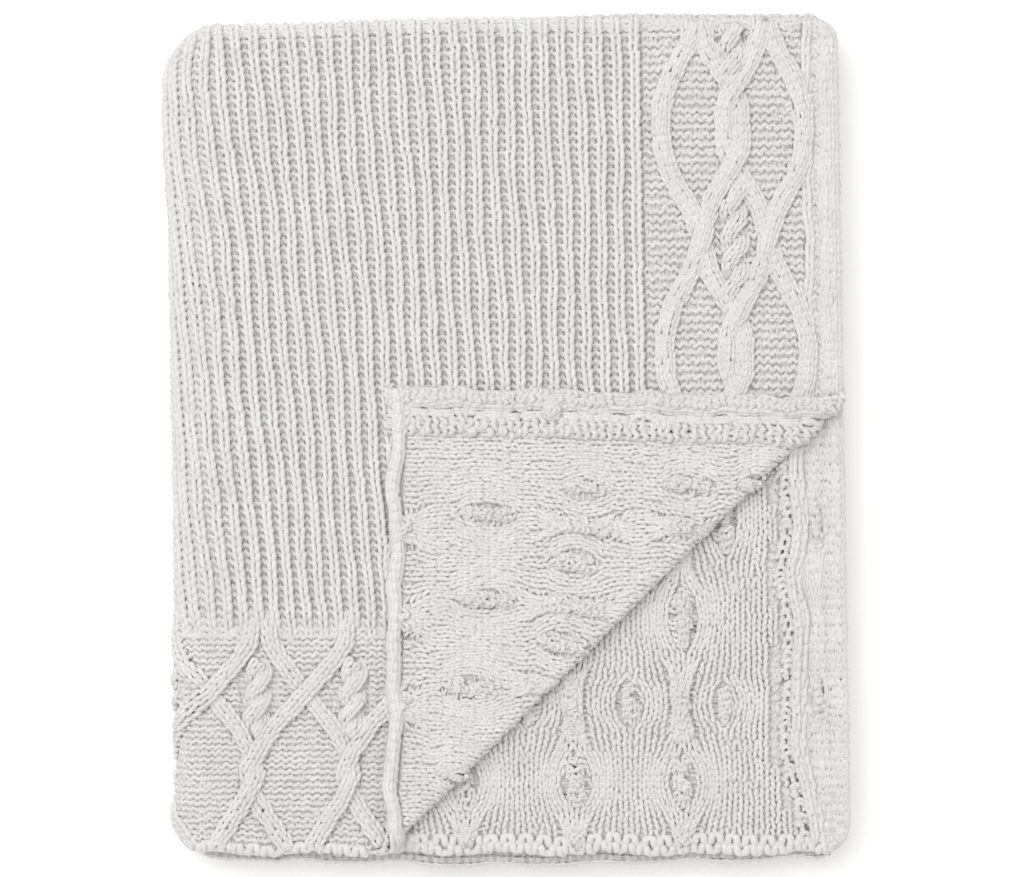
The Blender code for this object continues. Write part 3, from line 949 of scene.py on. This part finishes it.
def closer_round_fold(a, b):
    """Wales lie closer where the left fold stretches the cloth's outside."""
    beyond = a - TOP_RUN + CLOSER_FROM
    return np.where(a > TOP_RUN - CLOSER_FROM, TOP_RUN - CLOSER_FROM + beyond / FOLD_STRETCH, a), b


hem_starts = np.arange(0.264, TOP_RUN + RIBS_WRAP * FOLD_STRETCH, HEM_WALE)
hem_rows = np.arange(0.0052, HEM_BAND + 0.002, HEM_ROW)
hem_field = (closer_round_fold, plain_height, hem_ground_shown, HEM_GROUND_LOOK)
hem_ground = work_field(hem_starts, HEM_WALE, -1, hem_rows, *hem_field)
knit_piece("hem_band_ground", hem_ground + hem_floats, YARN_RADIUS)

# %% Knit the hem band's cables
HEM_STRAND_LOOK = (0.68, 0.0010, 1.40, 0.00040)
hem_cable = []
for path, lift in hem_strands:
    hem_cable += work_strand(path, lift, 2, width=0.0104, row=0.0044, look=HEM_STRAND_LOOK, shown=hem_shown)
for path, lift in hem_ropes:
    hem_cable += work_strand(path, lift, 2, width=0.0086, row=0.0042, look=ROPE_LOOK, shown=hem_shown)
knit_piece("hem_band_cables", hem_cable, radius=0.00160)

# %% [markdown]
# ## The wrong side
#
# Seen from behind, the purl ground is smooth knit, and each cable is a lump of purl that the knit
# columns flow round. On the real cloth the columns part at every crossing and meet again, so they
# look like water round stones. Here each stone pushes the columns aside and the push fades out. A
# yarn that must bridge such a gap is left as a float, as on the cloth.


# %% Part the columns round eyes
def parted(a, b, eyes, reach):
    """Where columns lie after every eye (across, along, half width, half length) pushed them."""
    shift = np.zeros(np.broadcast(a, b).shape)
    for middle_a, middle_b, half_width, half_length in eyes:
        strength = dome(b, middle_b, half_length) ** 0.7
        away = a - middle_a
        shift = shift + half_width * strength * np.sign(away) * bell(away, 0, reach)
    return a + shift


beside = parted(0.001, 0.0, [(0.0, 0.0, 0.004, 0.010)], 0.010)
print("a column 1 mm from the middle of an eye 8 mm wide moves to", beside.round(4))

# %% Draw the columns in at crossings
GATHER_FADE = 0.0150
GATHERED_TO = 0.50
SQUEEZED_BY = 0.20
DRAG_SHARE = 0.58
DRAG_FADE = 0.014
TIGHT_SHARE = 0.8
CLUMP_HEIGHT = 0.0016


def tangled(a, b):
    """A small disorder of loops, the same on each run."""
    return 0.0007 * np.sin(2310 * a + 1730 * b) + 0.0005 * np.sin(1290 * a - 2870 * b)


def drawn_in(a, b, clumps):
    """Where columns and rows lie after crossings (across, along, half width, half length) drew them in."""
    shift = np.zeros(np.broadcast(a, b).shape)
    rows_shift = np.zeros(shift.shape)
    for middle_a, middle_b, half_width, half_length in clumps:
        beyond = np.abs(b - middle_b) - half_length
        near = smooth(1 - beyond / GATHER_FADE)
        away = a - middle_a
        drag = DRAG_SHARE * (half_width * (1 - GATHERED_TO))
        outside = drag * near * np.sign(away) * np.exp(-(np.abs(away) - half_width) / DRAG_FADE)
        inside = away * (1 - GATHERED_TO) * near
        tight = near * (np.abs(away) < TIGHT_SHARE * half_width)
        shift = shift - np.where(np.abs(away) < half_width, inside, outside) + tangled(a, b) * tight
        rows_shift = rows_shift - (SQUEEZED_BY * (b - middle_b) - tangled(b, a)) * tight
    return a + shift, b + rows_shift


def clump_lift(a, b, clumps):
    """Crossings stand up from the wrong side."""
    lift = np.zeros(np.broadcast(a, b).shape)
    for middle_a, middle_b, half_width, half_length in clumps:
        near = smooth(1 - (np.abs(b - middle_b) - half_length) / GATHER_FADE)
        lift = lift + CLUMP_HEIGHT * near * (np.abs(a - middle_a) < half_width)
    return lift


print("a crossing draws its columns in to", GATHERED_TO, "of their width")

# %% Lay lumps in the eyes and on the crossings
LUMP_LOOK = (0.80, 0.0012, 0.8, 0.0011)
LUMP_HEIGHT = 0.0022
LUMP_ROW = 0.0042


def lumpy_runs(lumps, to_cloth, shown, wide, base):
    """A lumpy purl strand along the middle of each eye or crossing, laid by to_cloth."""
    runs = []
    for middle_a, middle_b, half_width, half_length in lumps:
        b = np.linspace(-0.92 * half_length, 0.92 * half_length, 40)
        lean = 0.12 * half_width * np.sin(b / half_length * math.pi)
        path = np.stack(to_cloth(middle_a + lean, middle_b + b), axis=-1)
        lift = base + LUMP_HEIGHT * dome(b, 0, half_length)
        width = half_width * wide
        parts = (path, lift, 2, width, LUMP_ROW, LUMP_LOOK, shown)
        runs += work_strand(*parts, side=-1, face=-1, crown=0.0012)
    return runs


print("height of a lump:", LUMP_HEIGHT, "m")

# %% [markdown]
# ## The layer that the corner uncovers
#
# This is the back half of the cloth, so its own hem is at the far edge of the flat sheet. Distances
# are taken from that hem, and a step at the end turns them into places on the flat sheet.

# %% Chart the uncovered layer
WRONG_LOOK = (0.66, 0.0013, 1.50, 0.00030)
UNDER_WALE = 0.00654
UNDER_ROW = 0.0036
UNDER_CENTRE = 0.0977
# Eyes and crossings: place across, distance from the hem, half width, half length.
UNDER_EYES = (
    (0.1622, 0.0425, 0.0080, 0.0175),
    (0.0977, 0.0415, 0.0080, 0.0175),
    (0.2285, 0.0415, 0.0080, 0.0175),
    (0.1295, 0.0888, 0.0068, 0.0145),
    (0.0716, 0.0888, 0.0060, 0.0140),
    (0.1912, 0.0888, 0.0068, 0.0145),
    (0.0960, 0.1400, 0.0072, 0.0200),
    (0.0694, 0.1986, 0.0065, 0.0220),
)
UNDER_CLUMPS = (
    (0.1631, 0.0865, 0.0131, 0.0150),
    (0.0977, 0.0880, 0.0131, 0.0160),
    (0.1631, 0.0060, 0.0131, 0.0050),
    (0.0977, 0.0060, 0.0131, 0.0050),
    (0.2285, 0.0060, 0.0131, 0.0050),
    (0.0977, 0.1860, 0.0131, 0.0140),
)


def under_place(a, b):
    """Flat place on the back half, from its own hem."""
    drawn, rows = drawn_in(a, b, UNDER_CLUMPS)
    return parted(a, b, UNDER_EYES, 0.0170) + drawn - a, WIDTH - rows


def under_shown(u, v):
    """The back half shows beyond the crease of the layer on top of it."""
    return past_corner(u, WIDTH - v) > -0.0070


print("eyes and crossings in the uncovered layer:", len(UNDER_EYES), len(UNDER_CLUMPS))

# %% Knit the uncovered layer
WAVE_ROWS = (0.000, 0.015, 0.032, 0.061, 0.091, 0.116, 0.141, 0.161, 0.195, 0.225, 0.300)
WAVE_PLACES = (0.0310, 0.0321, 0.0349, 0.0428, 0.0411, 0.0407, 0.0385, 0.0448, 0.0382, 0.0414, 0.0400)


def wavy_column(b):
    """Place of the sunken column at a distance from the hem."""
    return np.interp(b, WAVE_ROWS, WAVE_PLACES)


def fans_shown(u, v):
    """The smooth fans stop at the wavy purl column beside the edge."""
    return under_shown(u, v) & (u > wavy_column(WIDTH - v) + 0.0022)


def under_height(u, v, a):
    """Flat knit with raised crossings, and a brim beside the wavy column."""
    brim = 0.0014 * bell(u - wavy_column(WIDTH - v), middle=0.0060, width=0.0040)
    return PLAIN_HEIGHT + clump_lift(a, WIDTH - v, UNDER_CLUMPS) + brim


def back_place(a, b):
    """The same where nothing pushes the columns."""
    return a, WIDTH - b + 0 * a


under_starts = np.arange(UNDER_CENTRE - 10 * UNDER_WALE, 0.258, UNDER_WALE)
under_rows = np.arange(0.0110, 0.275, UNDER_ROW)
under_field = (under_place, under_height, fans_shown, WRONG_LOOK)
under_layer = work_field(under_starts, UNDER_WALE, 1, under_rows, *under_field, side=-1)
under_layer += lumpy_runs(UNDER_EYES, back_place, under_shown, wide=1.25, base=0.0002)
under_layer += lumpy_runs(UNDER_CLUMPS, back_place, under_shown, wide=0.70, base=0.0018)
knit_piece("under_layer", under_layer, radius=0.00156)

# %% [markdown]
# ## The turned-back corner
#
# It is the wrong side of the same top layer, so its columns run across the view. Its lumps lie behind
# the hem band's crossings.

# %% Chart the turned-back corner
FLAP_LOOK = (0.66, 0.0010, 1.50, 0.00042)
FLAP_WALE = 0.0525 / 10
FLAP_ROW = 0.0040
FLAP_CENTRE = 0.0714
# Eyes and crossings: place across, distance from the hem, half width, half length.
FLAP_EYES = (
    (0.0555, 0.1187, 0.0062, 0.0150),
    (0.1005, 0.1115, 0.0074, 0.0165),
    (0.1494, 0.1060, 0.0072, 0.0165),
    (0.0724, 0.0600, 0.0056, 0.0190),
    (0.1240, 0.0585, 0.0062, 0.0200),
    (0.1768, 0.0500, 0.0070, 0.0195),
    (0.2290, 0.0420, 0.0048, 0.0120),
    (0.0520, 0.1800, 0.0055, 0.0170),
    (0.0520, 0.2250, 0.0055, 0.0170),
)
FLAP_CLUMPS = (
    (0.0780, 0.1180, 0.0105, 0.0180),
    (0.1262, 0.1095, 0.0105, 0.0180),
    (0.1740, 0.1010, 0.0105, 0.0160),
    (0.0819, 0.0080, 0.0158, 0.0050),
    (0.1360, 0.0080, 0.0158, 0.0050),
    (0.1900, 0.0080, 0.0158, 0.0050),
    (0.0780, 0.1850, 0.0105, 0.0200),
)
print("eyes and crossings in the corner:", len(FLAP_EYES), len(FLAP_CLUMPS))


# %% Knit the turned-back corner
def flap_place(a, b):
    """Flat place on the top layer's wrong side."""
    drawn, rows = drawn_in(a, b, FLAP_CLUMPS)
    wander = 0.0005 * np.sin(math.tau * (b / 0.041 + 9 * a))
    return parted(a, b, FLAP_EYES, 0.0170) + drawn - a + wander, rows + 0.3 * tangled(a / 3, b / 3)


def flap_height(u, v, a):
    """Flat knit with raised crossings."""
    return PLAIN_HEIGHT + clump_lift(a, v, FLAP_CLUMPS) * smooth((past_corner(u, v) - 0.008) / 0.020)


def flap_shown(u, v):
    """The wrong side shows from the crease on."""
    return past_corner(u, v) > 0.0020


def flap_lumps_shown(u, v):
    """Lumps are pressed flat near the crease."""
    return past_corner(u, v) > 0.0150


flap_starts = np.arange(FLAP_CENTRE - 9 * FLAP_WALE, 0.280, FLAP_WALE)
flap_rows = np.arange(0.0110, 0.285, FLAP_ROW)
flap_field = (flap_place, flap_height, flap_shown, FLAP_LOOK)
flap = work_field(flap_starts, FLAP_WALE, 1, flap_rows, *flap_field, side=-1)
flap += lumpy_runs(FLAP_EYES, straight, flap_shown, wide=1.30, base=0.0002)
flap += lumpy_runs(FLAP_CLUMPS, straight, flap_lumps_shown, wide=0.85, base=0.0014)
knit_piece("turned_corner", flap, radius=0.00152)

# %% [markdown]
# ## Edges of the turned-back corner
#
# Seen from behind, the free side edge is a smooth roll, a groove and a chunky braid. The hem is a plain
# smooth roll, because its rows curl over.


# %% Knit the corner's edges
BUMPY_LOOK = (0.80, 0.0011, 0.95, 0.00060)


def behind_roll(u, v, a):
    """The roll and the braid stand up from the wrong side."""
    roll = 0.0034 * dome(u, middle=0.0035, half_width=0.0060)
    braid = 0.0032 * bell(u, middle=0.0205, width=0.0070)
    return PLAIN_HEIGHT + np.maximum(roll, braid)


def wavy_edge(a, b):
    """The free edge wanders in and out as a rolled edge does."""
    wave = ripple(b, (0.0012, 0.058, 0.8), (0.0007, 0.023, 0))
    return a + wave * np.maximum(0, 1 - a / 0.030), b


def edge_columns(columns, row, look):
    """Columns along the corner's side edge. A column is (start, width, face)."""
    starts, widths, faces = np.array(columns).T
    rows = np.arange(0.0, 0.285, row)
    return work_field(starts, widths, faces, rows, wavy_edge, behind_roll, flap_shown, look, side=-1)


def knot(middle_u, middle_v):
    """A small heap of yarn, wound in five rings that get smaller and higher."""
    rings = []
    turn = np.linspace(0, 1.9 * math.tau, 16)
    for number in range(5):
        reach = 0.0058 - 0.0009 * number
        u = middle_u + reach * np.cos(turn + number)
        v = middle_v + 0.8 * reach * np.sin(turn + number)
        out = 0.0040 + 0.0008 * number + 0.0010 * np.sin(2.3 * turn)
        rings.append(np.stack((u, v, -out), axis=-1))
    return rings


ROLL_COLUMNS = ((-0.0016, 0.0042, -1), (0.0026, 0.0036, -1), (0.0062, 0.0036, 1))
BRAID_COLUMNS = ((0.0104, 0.0048, 1), (0.0152, 0.0054, -1), (0.0206, 0.0060, -1))
BRAID_LOOK = (0.70, 0.0014, 1.10, 0.00080)
flap_edges = edge_columns(ROLL_COLUMNS, row=0.0042, look=BUMPY_LOOK)
flap_edges += edge_columns(BRAID_COLUMNS, row=0.0050, look=BRAID_LOOK)
hem_line = np.arange(-0.002, 0.290, 0.001)
hem_wave = ripple(hem_line, (0.0011, 0.083, 0), (0.0005, 0.031, 0))
hem_path = np.stack((hem_line, 0.0030 + hem_wave), axis=-1)
hem_lift = 0.0024 + 0 * hem_line
flap_edges += work_strand(hem_path, hem_lift, 2, 0.0072, 0.0060, EDGE_LOOK, flap_shown, side=-1)
knit_piece("corner_edges", flap_edges + knot(0.0095, 0.0972), radius=0.0019)

# %% [markdown]
# ## Edges of the uncovered layer
#
# Beside its smooth fans this layer has a sunken column of purl, wavy knit columns and a smooth rolled
# edge. The purl looks dark from its depth and from painted shade, where it sinks into the sheet's darker
# finish. The columns are strands that follow one charted wave, each at its own distance from it, and the
# smooth edge fills what they leave.

# %% Knit the uncovered layer's edges
EDGE_EYES = ((0.0150, 0.0906, 0.0034, 0.0165), (0.0150, 0.1960, 0.0034, 0.0165))


def edge_place(a, b):
    """The smooth edge fills what the wavy columns leave, and parts at a small eye."""
    limit = softened(wavy_column(b.ravel())).reshape(b.shape) - 0.0182
    u = -0.0010 + (a + 0.0010) * (limit + 0.0010) / 0.0280
    return parted(u, b, EDGE_EYES, 0.0080), WIDTH - b + 0 * a


def edge_level(u, v, a):
    """Soft waves of smooth cloth that rolls over at the edge."""
    waves = 0.0007 * np.sin(math.tau * (u / 0.0125 + 1.3 * v)) + ripple(v, (0.0005, 0.041, 0))
    return PLAIN_HEIGHT + 0.0005 + waves + 0.0010 * smooth(1 - u / 0.012)


def wavy_strand(offset, lift, wales, width, row, look, face, crown):
    """A strand of the uncovered layer that follows its wavy purl column at a distance."""
    b = np.arange(0.004, 0.290, 0.001)
    a = softened(wavy_column(b), 21) + offset
    path = np.stack((a, WIDTH - b), axis=-1)
    return work_strand(path, lift + 0 * b, wales, width, row, look, under_shown, -1, face, crown)


# Columns beside the edge: offset, lift, wales, width, row, look, face, crown.
WAVY_STRANDS = (
    # The first, sunken purl column dips into the sheet, so the sheet's painted shade shows through it.
    (-0.0006, -0.0009, 2, 0.0080, 0.0037, LUMP_LOOK, -1, 0.0004),
    (-0.0068, 0.0020, 1, 0.0074, 0.0044, LUMP_LOOK, -1, 0.0020),
    (-0.0122, 0.0022, 1, 0.0052, 0.0052, EDGE_LOOK, 1, 0.0020),
    (-0.0164, 0.0010, 1, 0.0048, 0.0052, EDGE_LOOK, 1, 0.0020),
)
under_edges = []
for columns in WAVY_STRANDS:
    under_edges += wavy_strand(*columns)
smooth_starts = np.arange(-0.0010, 0.0250, 0.0040)
smooth_rows = np.arange(0.004, 0.285, 0.0054)
smooth_field = (edge_place, edge_level, under_shown, SMOOTH_LOOK)
under_edges += work_field(smooth_starts, 0.0040, 1, smooth_rows, *smooth_field, side=-1)
under_edges += lumpy_runs(EDGE_EYES, back_place, under_shown, wide=1.4, base=0.0004)
knit_piece("under_layer_edges", under_edges, radius=0.0018)

# %% [markdown]
# ## The hems
#
# A hem is the last row of loops, drawn over one another, so it is thicker than the cloth and looks like
# a row of bricks over a bumpy row. Wide loops of thick, rounder yarn make it, on the uncovered layer
# and under the hem band.

# %% Knit the hems
BRICK = 0.0104
HEM_LUMP = 0.0090


def hem_bump_height(u, v, a):
    """The hem is a little thicker than the cloth."""
    return PLAIN_HEIGHT + 0.0008 + 0 * u


def hem_bumps(row, first, last, width, place, shown, side, look):
    """A row of wide stitches along a hem."""
    starts = np.arange(first, last, width)
    return work_field(starts, width, 1, np.array([row]), place, hem_bump_height, shown, look, side)


BRICK_LOOK = (0.46, 0.0012, 0.75, 0.00040)
HEM_LUMP_LOOK = (0.34, 0.0012, 0.70, 0.00070)
hems = hem_bumps(0.0058, 0.0, 0.28, BRICK, back_place, under_shown, -1, BRICK_LOOK)
hems += hem_bumps(0.0010, 0.0, 0.28, HEM_LUMP, back_place, under_shown, -1, HEM_LUMP_LOOK)
hems += hem_bumps(0.0014, 0.26, 0.430, HEM_LUMP, straight, hem_shown, 1, HEM_LUMP_LOOK)
knit_piece("hem_rows", hems, radius=0.00270, sides=8)

# %% [markdown]
# ## Chains that close the cloth's edges
#
# A knit edge is a chain of the last loops, and it faces outwards. It is worked like any column and then
# turned on its side: what was across the cloth now goes through it.


# %% Chain the edges
CHAIN_LOOK = (0.70, 0.0010, 1.0, 0.00035)
CHAIN_WIDTH = 0.0020
CHAIN_ROW = 0.0058


def soft_edge(u, v, a):
    """A soft edge wanders in and out."""
    return ripple(v, (0.0005, 0.083, 0), (0.0004, 0.0295, 0))


def everywhere(u, v):
    """Nothing hides these columns."""
    return np.ones(u.shape, bool)


def lone_column(start, width, rows, height, look):
    """One knit column with its own height."""
    return work_field(np.array([start]), width, 1, rows, straight, height, everywhere, look)


def edge_chain(length, to_cloth):
    """A chain along a whole edge. to_cloth takes (along, through, outward)."""
    rows = np.arange(0.0, length, CHAIN_ROW)
    runs = lone_column(-CHAIN_WIDTH / 2, CHAIN_WIDTH, rows, soft_edge, CHAIN_LOOK)
    return [np.stack(to_cloth(run[:, 1], run[:, 0], run[:, 2]), axis=-1) for run in runs]


chains = edge_chain(WIDTH, lambda b, a, out: (-out, b, a))
chains += edge_chain(WIDTH, lambda b, a, out: (LENGTH + out, b, a))
chains += edge_chain(LENGTH, lambda b, a, out: (b, -out, a))
chains += edge_chain(LENGTH, lambda b, a, out: (b, WIDTH + out, a))
knit_piece("edge_chains", chains, radius=0.00125)

# %% [markdown]
# ## Ribs that show on the folds below
#
# From behind, the far folds of the lower runs show, and from the right the one turn of the lowest
# runs. Only the raised columns are worked there, because the purl between them sinks out of sight.


# %% Knit the folds below
def fold_height(u, v, a):
    """The raised columns stand a little above the cloth."""
    return 0.0010 + 0 * u


FOLD_LOOK = (0.70, 0.0006, 1.10, 0.00024)
FOLD_RIB = 0.0108
FOLD_KNIT = 0.0070
TURN_KNIT = 0.0056
far_rows = HALF_WIDTH + np.arange(-0.0042, FOLD_LENGTH + 0.0042, 0.0022)
lower_runs = []
start = TOP_RUN + math.pi * OUTER_RADIUS
for length, radius in SECTION[2:]:
    if radius == 0.0:
        for rib in np.arange(start + 0.003, start + length - 0.003, FOLD_RIB):
            lower_runs += lone_column(rib, FOLD_KNIT, far_rows, fold_height, FOLD_LOOK)
    start += length
right_turn = TOP_RUN + math.pi * OUTER_RADIUS + BOTTOM_RUN
turn_rows = np.arange(HEM_BAND, HALF_WIDTH, RIB_ROW)
for past_turn in (-0.0060, 0.0035, 0.0130):
    lower_runs += lone_column(right_turn + past_turn, TURN_KNIT, turn_rows, fold_height, RIB_LOOK)
knit_piece("ribs_below", lower_runs, YARN_RADIUS)

# %% [markdown]
# ## The thin sheet that carries the folds
#
# Behind the loops lies one closed sheet, so no gap looks through the cloth. It starts as a flat grid
# whose rows and columns are moved to where the cloth bends, is cut along the corner's crease, given its
# thickness, and bent like the yarn. Behind the loops its finish is darker, painted shade for the deep
# gaps. The runs below have no loops, so the sheet is thicker there and its ribs are drawn in the finish.

# %% Weave the ribs into the finish of the hidden runs
def ribbed_cloth(name):
    """The same cotton with ribs and rows drawn along the flat cloth, for the folds below."""
    material = cotton(name, (0.76, 0.75, 0.73), (0.74, 0.71, 0.70), 0.0006)
    tree = material.node_tree
    place = add_node(tree, "UVMap")
    place.uv_map = "flat cloth"
    over = tree.nodes["Principled BSDF"].inputs["Normal"].links[0].from_node
    for direction, pitch, depth in (("Y", RIB_ROW, 0.0012), ("X", RIB_PITCH, 0.0030)):
        bands = add_node(tree, "TexWave", Scale=math.tau / 20 / pitch, Distortion=0.0)
        bands.bands_direction = direction
        bump = add_node(tree, "Bump", Distance=depth)
        link(tree, place, "UV", bands, "Vector")
        link(tree, bands, "Fac", bump, "Height")
        link(tree, bump, "Normal", over, "Normal")
        over = bump
    return material


# %% Place the sheet's lines
TURN_LINES = {OUTER_RADIUS: (15, 0.0), INNER_RADIUS: (9, 0.002)}


def stations():
    """Places along and across the cloth where the sheet has a line, closer together in the turns."""
    along = list(np.linspace(0, LENGTH, 100))
    start = 0.0
    for length, radius in SECTION:
        if radius:
            lines, margin = TURN_LINES[abs(radius)]
            along = [u for u in along if not start - margin < u < start + length + margin]
            along += list(np.linspace(start, start + length, lines))
        start += length
    across = list(np.linspace(0, HALF_WIDTH, 38))
    across += list(HALF_WIDTH + np.linspace(0, FOLD_LENGTH, 9)[1:])
    across += list(np.linspace(HALF_WIDTH + FOLD_LENGTH, WIDTH, 38)[1:])
    return sorted(along), sorted(across)


along, across = stations()
print("lines along and across the sheet:", len(along), len(across))

# %% Cut and fold the sheet
SHEET_THICKNESS = 0.0012
THICK_BELOW = 0.0032
CREASE_CUTS = 6
CREASE_REACH = 0.30


def cut_at_crease(bm):
    """Cut lines into the corner where it bends round its crease."""
    normal = (-CREASE_IN[0], CREASE_IN[1], 0)
    for step in range(CREASE_CUTS + 1):
        back = CREASE_LENGTH * step / CREASE_CUTS
        x = CREASE_POINT[0] - back * CREASE_IN[0]
        y = CREASE_POINT[1] - back * CREASE_IN[1]
        faces = [face for face in bm.faces if max(face.calc_center_median()) < CREASE_REACH]
        edges = {edge for face in faces for edge in face.edges}
        verts = {vert for face in faces for vert in face.verts}
        geom = list(verts) + list(edges) + faces
        point = (RIGHT_EDGE - x, y - NEAR_EDGE, 0)
        bmesh.ops.bisect_plane(bm, geom=geom, dist=1e-6, plane_co=point, plane_no=normal)


def sheet_mesh():
    """The flat grid, cut at the crease, thickened and bent."""
    bm = bmesh.new()
    bmesh.ops.create_grid(bm, x_segments=len(along) - 1, y_segments=len(across) - 1, size=0.5)
    for vert in bm.verts:
        column = round((vert.co.x + 0.5) * (len(along) - 1))
        row = round((vert.co.y + 0.5) * (len(across) - 1))
        vert.co = (along[column], across[row], 0)
    cut_at_crease(bm)
    bmesh.ops.solidify(bm, geom=list(bm.faces), thickness=SHEET_THICKNESS)
    flat = np.array([vert.co[:] for vert in bm.verts])
    flat[:, 2] -= (flat[:, 2].max() + flat[:, 2].min()) / 2
    below = smooth((flat[:, 0] - TOP_RUN - RIBS_WRAP) / 0.004)
    flat[:, 2] *= 1 + (THICK_BELOW / SHEET_THICKNESS - 1) * below
    weave = bm.loops.layers.uv.new("flat cloth")
    for face in bm.faces:
        for loop in face.loops:
            loop[weave].uv = loop.vert.co.xy
    places = bend(flat)
    places[:, 2] = np.maximum(places[:, 2], 0.0)
    for vert, place in zip(bm.verts, places):
        vert.co = place
    bmesh.ops.recalc_face_normals(bm, faces=bm.faces)
    if bm.calc_volume(signed=True) < 0:
        bmesh.ops.reverse_faces(bm, faces=bm.faces)
    mesh = bpy.data.meshes.new("ground_cloth")
    bm.to_mesh(mesh)
    bm.free()
    mesh.shade_smooth()
    return mesh


sheet = sheet_mesh()
print("sheet faces:", len(sheet.polygons))

# %% Lay the sheet behind the yarn
YARN_SIDE = -0.190
ground = put_in_scene("ground_cloth", sheet)
ground.data.materials.append(PAINTED_SHADE)
ground.data.materials.append(ribbed_cloth("ribbed cotton"))
# Faces behind the yarn take the painted shade, and the rest take the ribbed cotton.
for face in ground.data.polygons:
    gets_painted_shade = face.center.z > TOP_HEIGHT - LAYER_PITCH or face.center.x < YARN_SIDE
    face.material_index = 0 if gets_painted_shade else 1
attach(ground, "root")
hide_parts("knit_runner")
print("the folded sheet measures", [round(side, 3) for side in ground.dimensions])
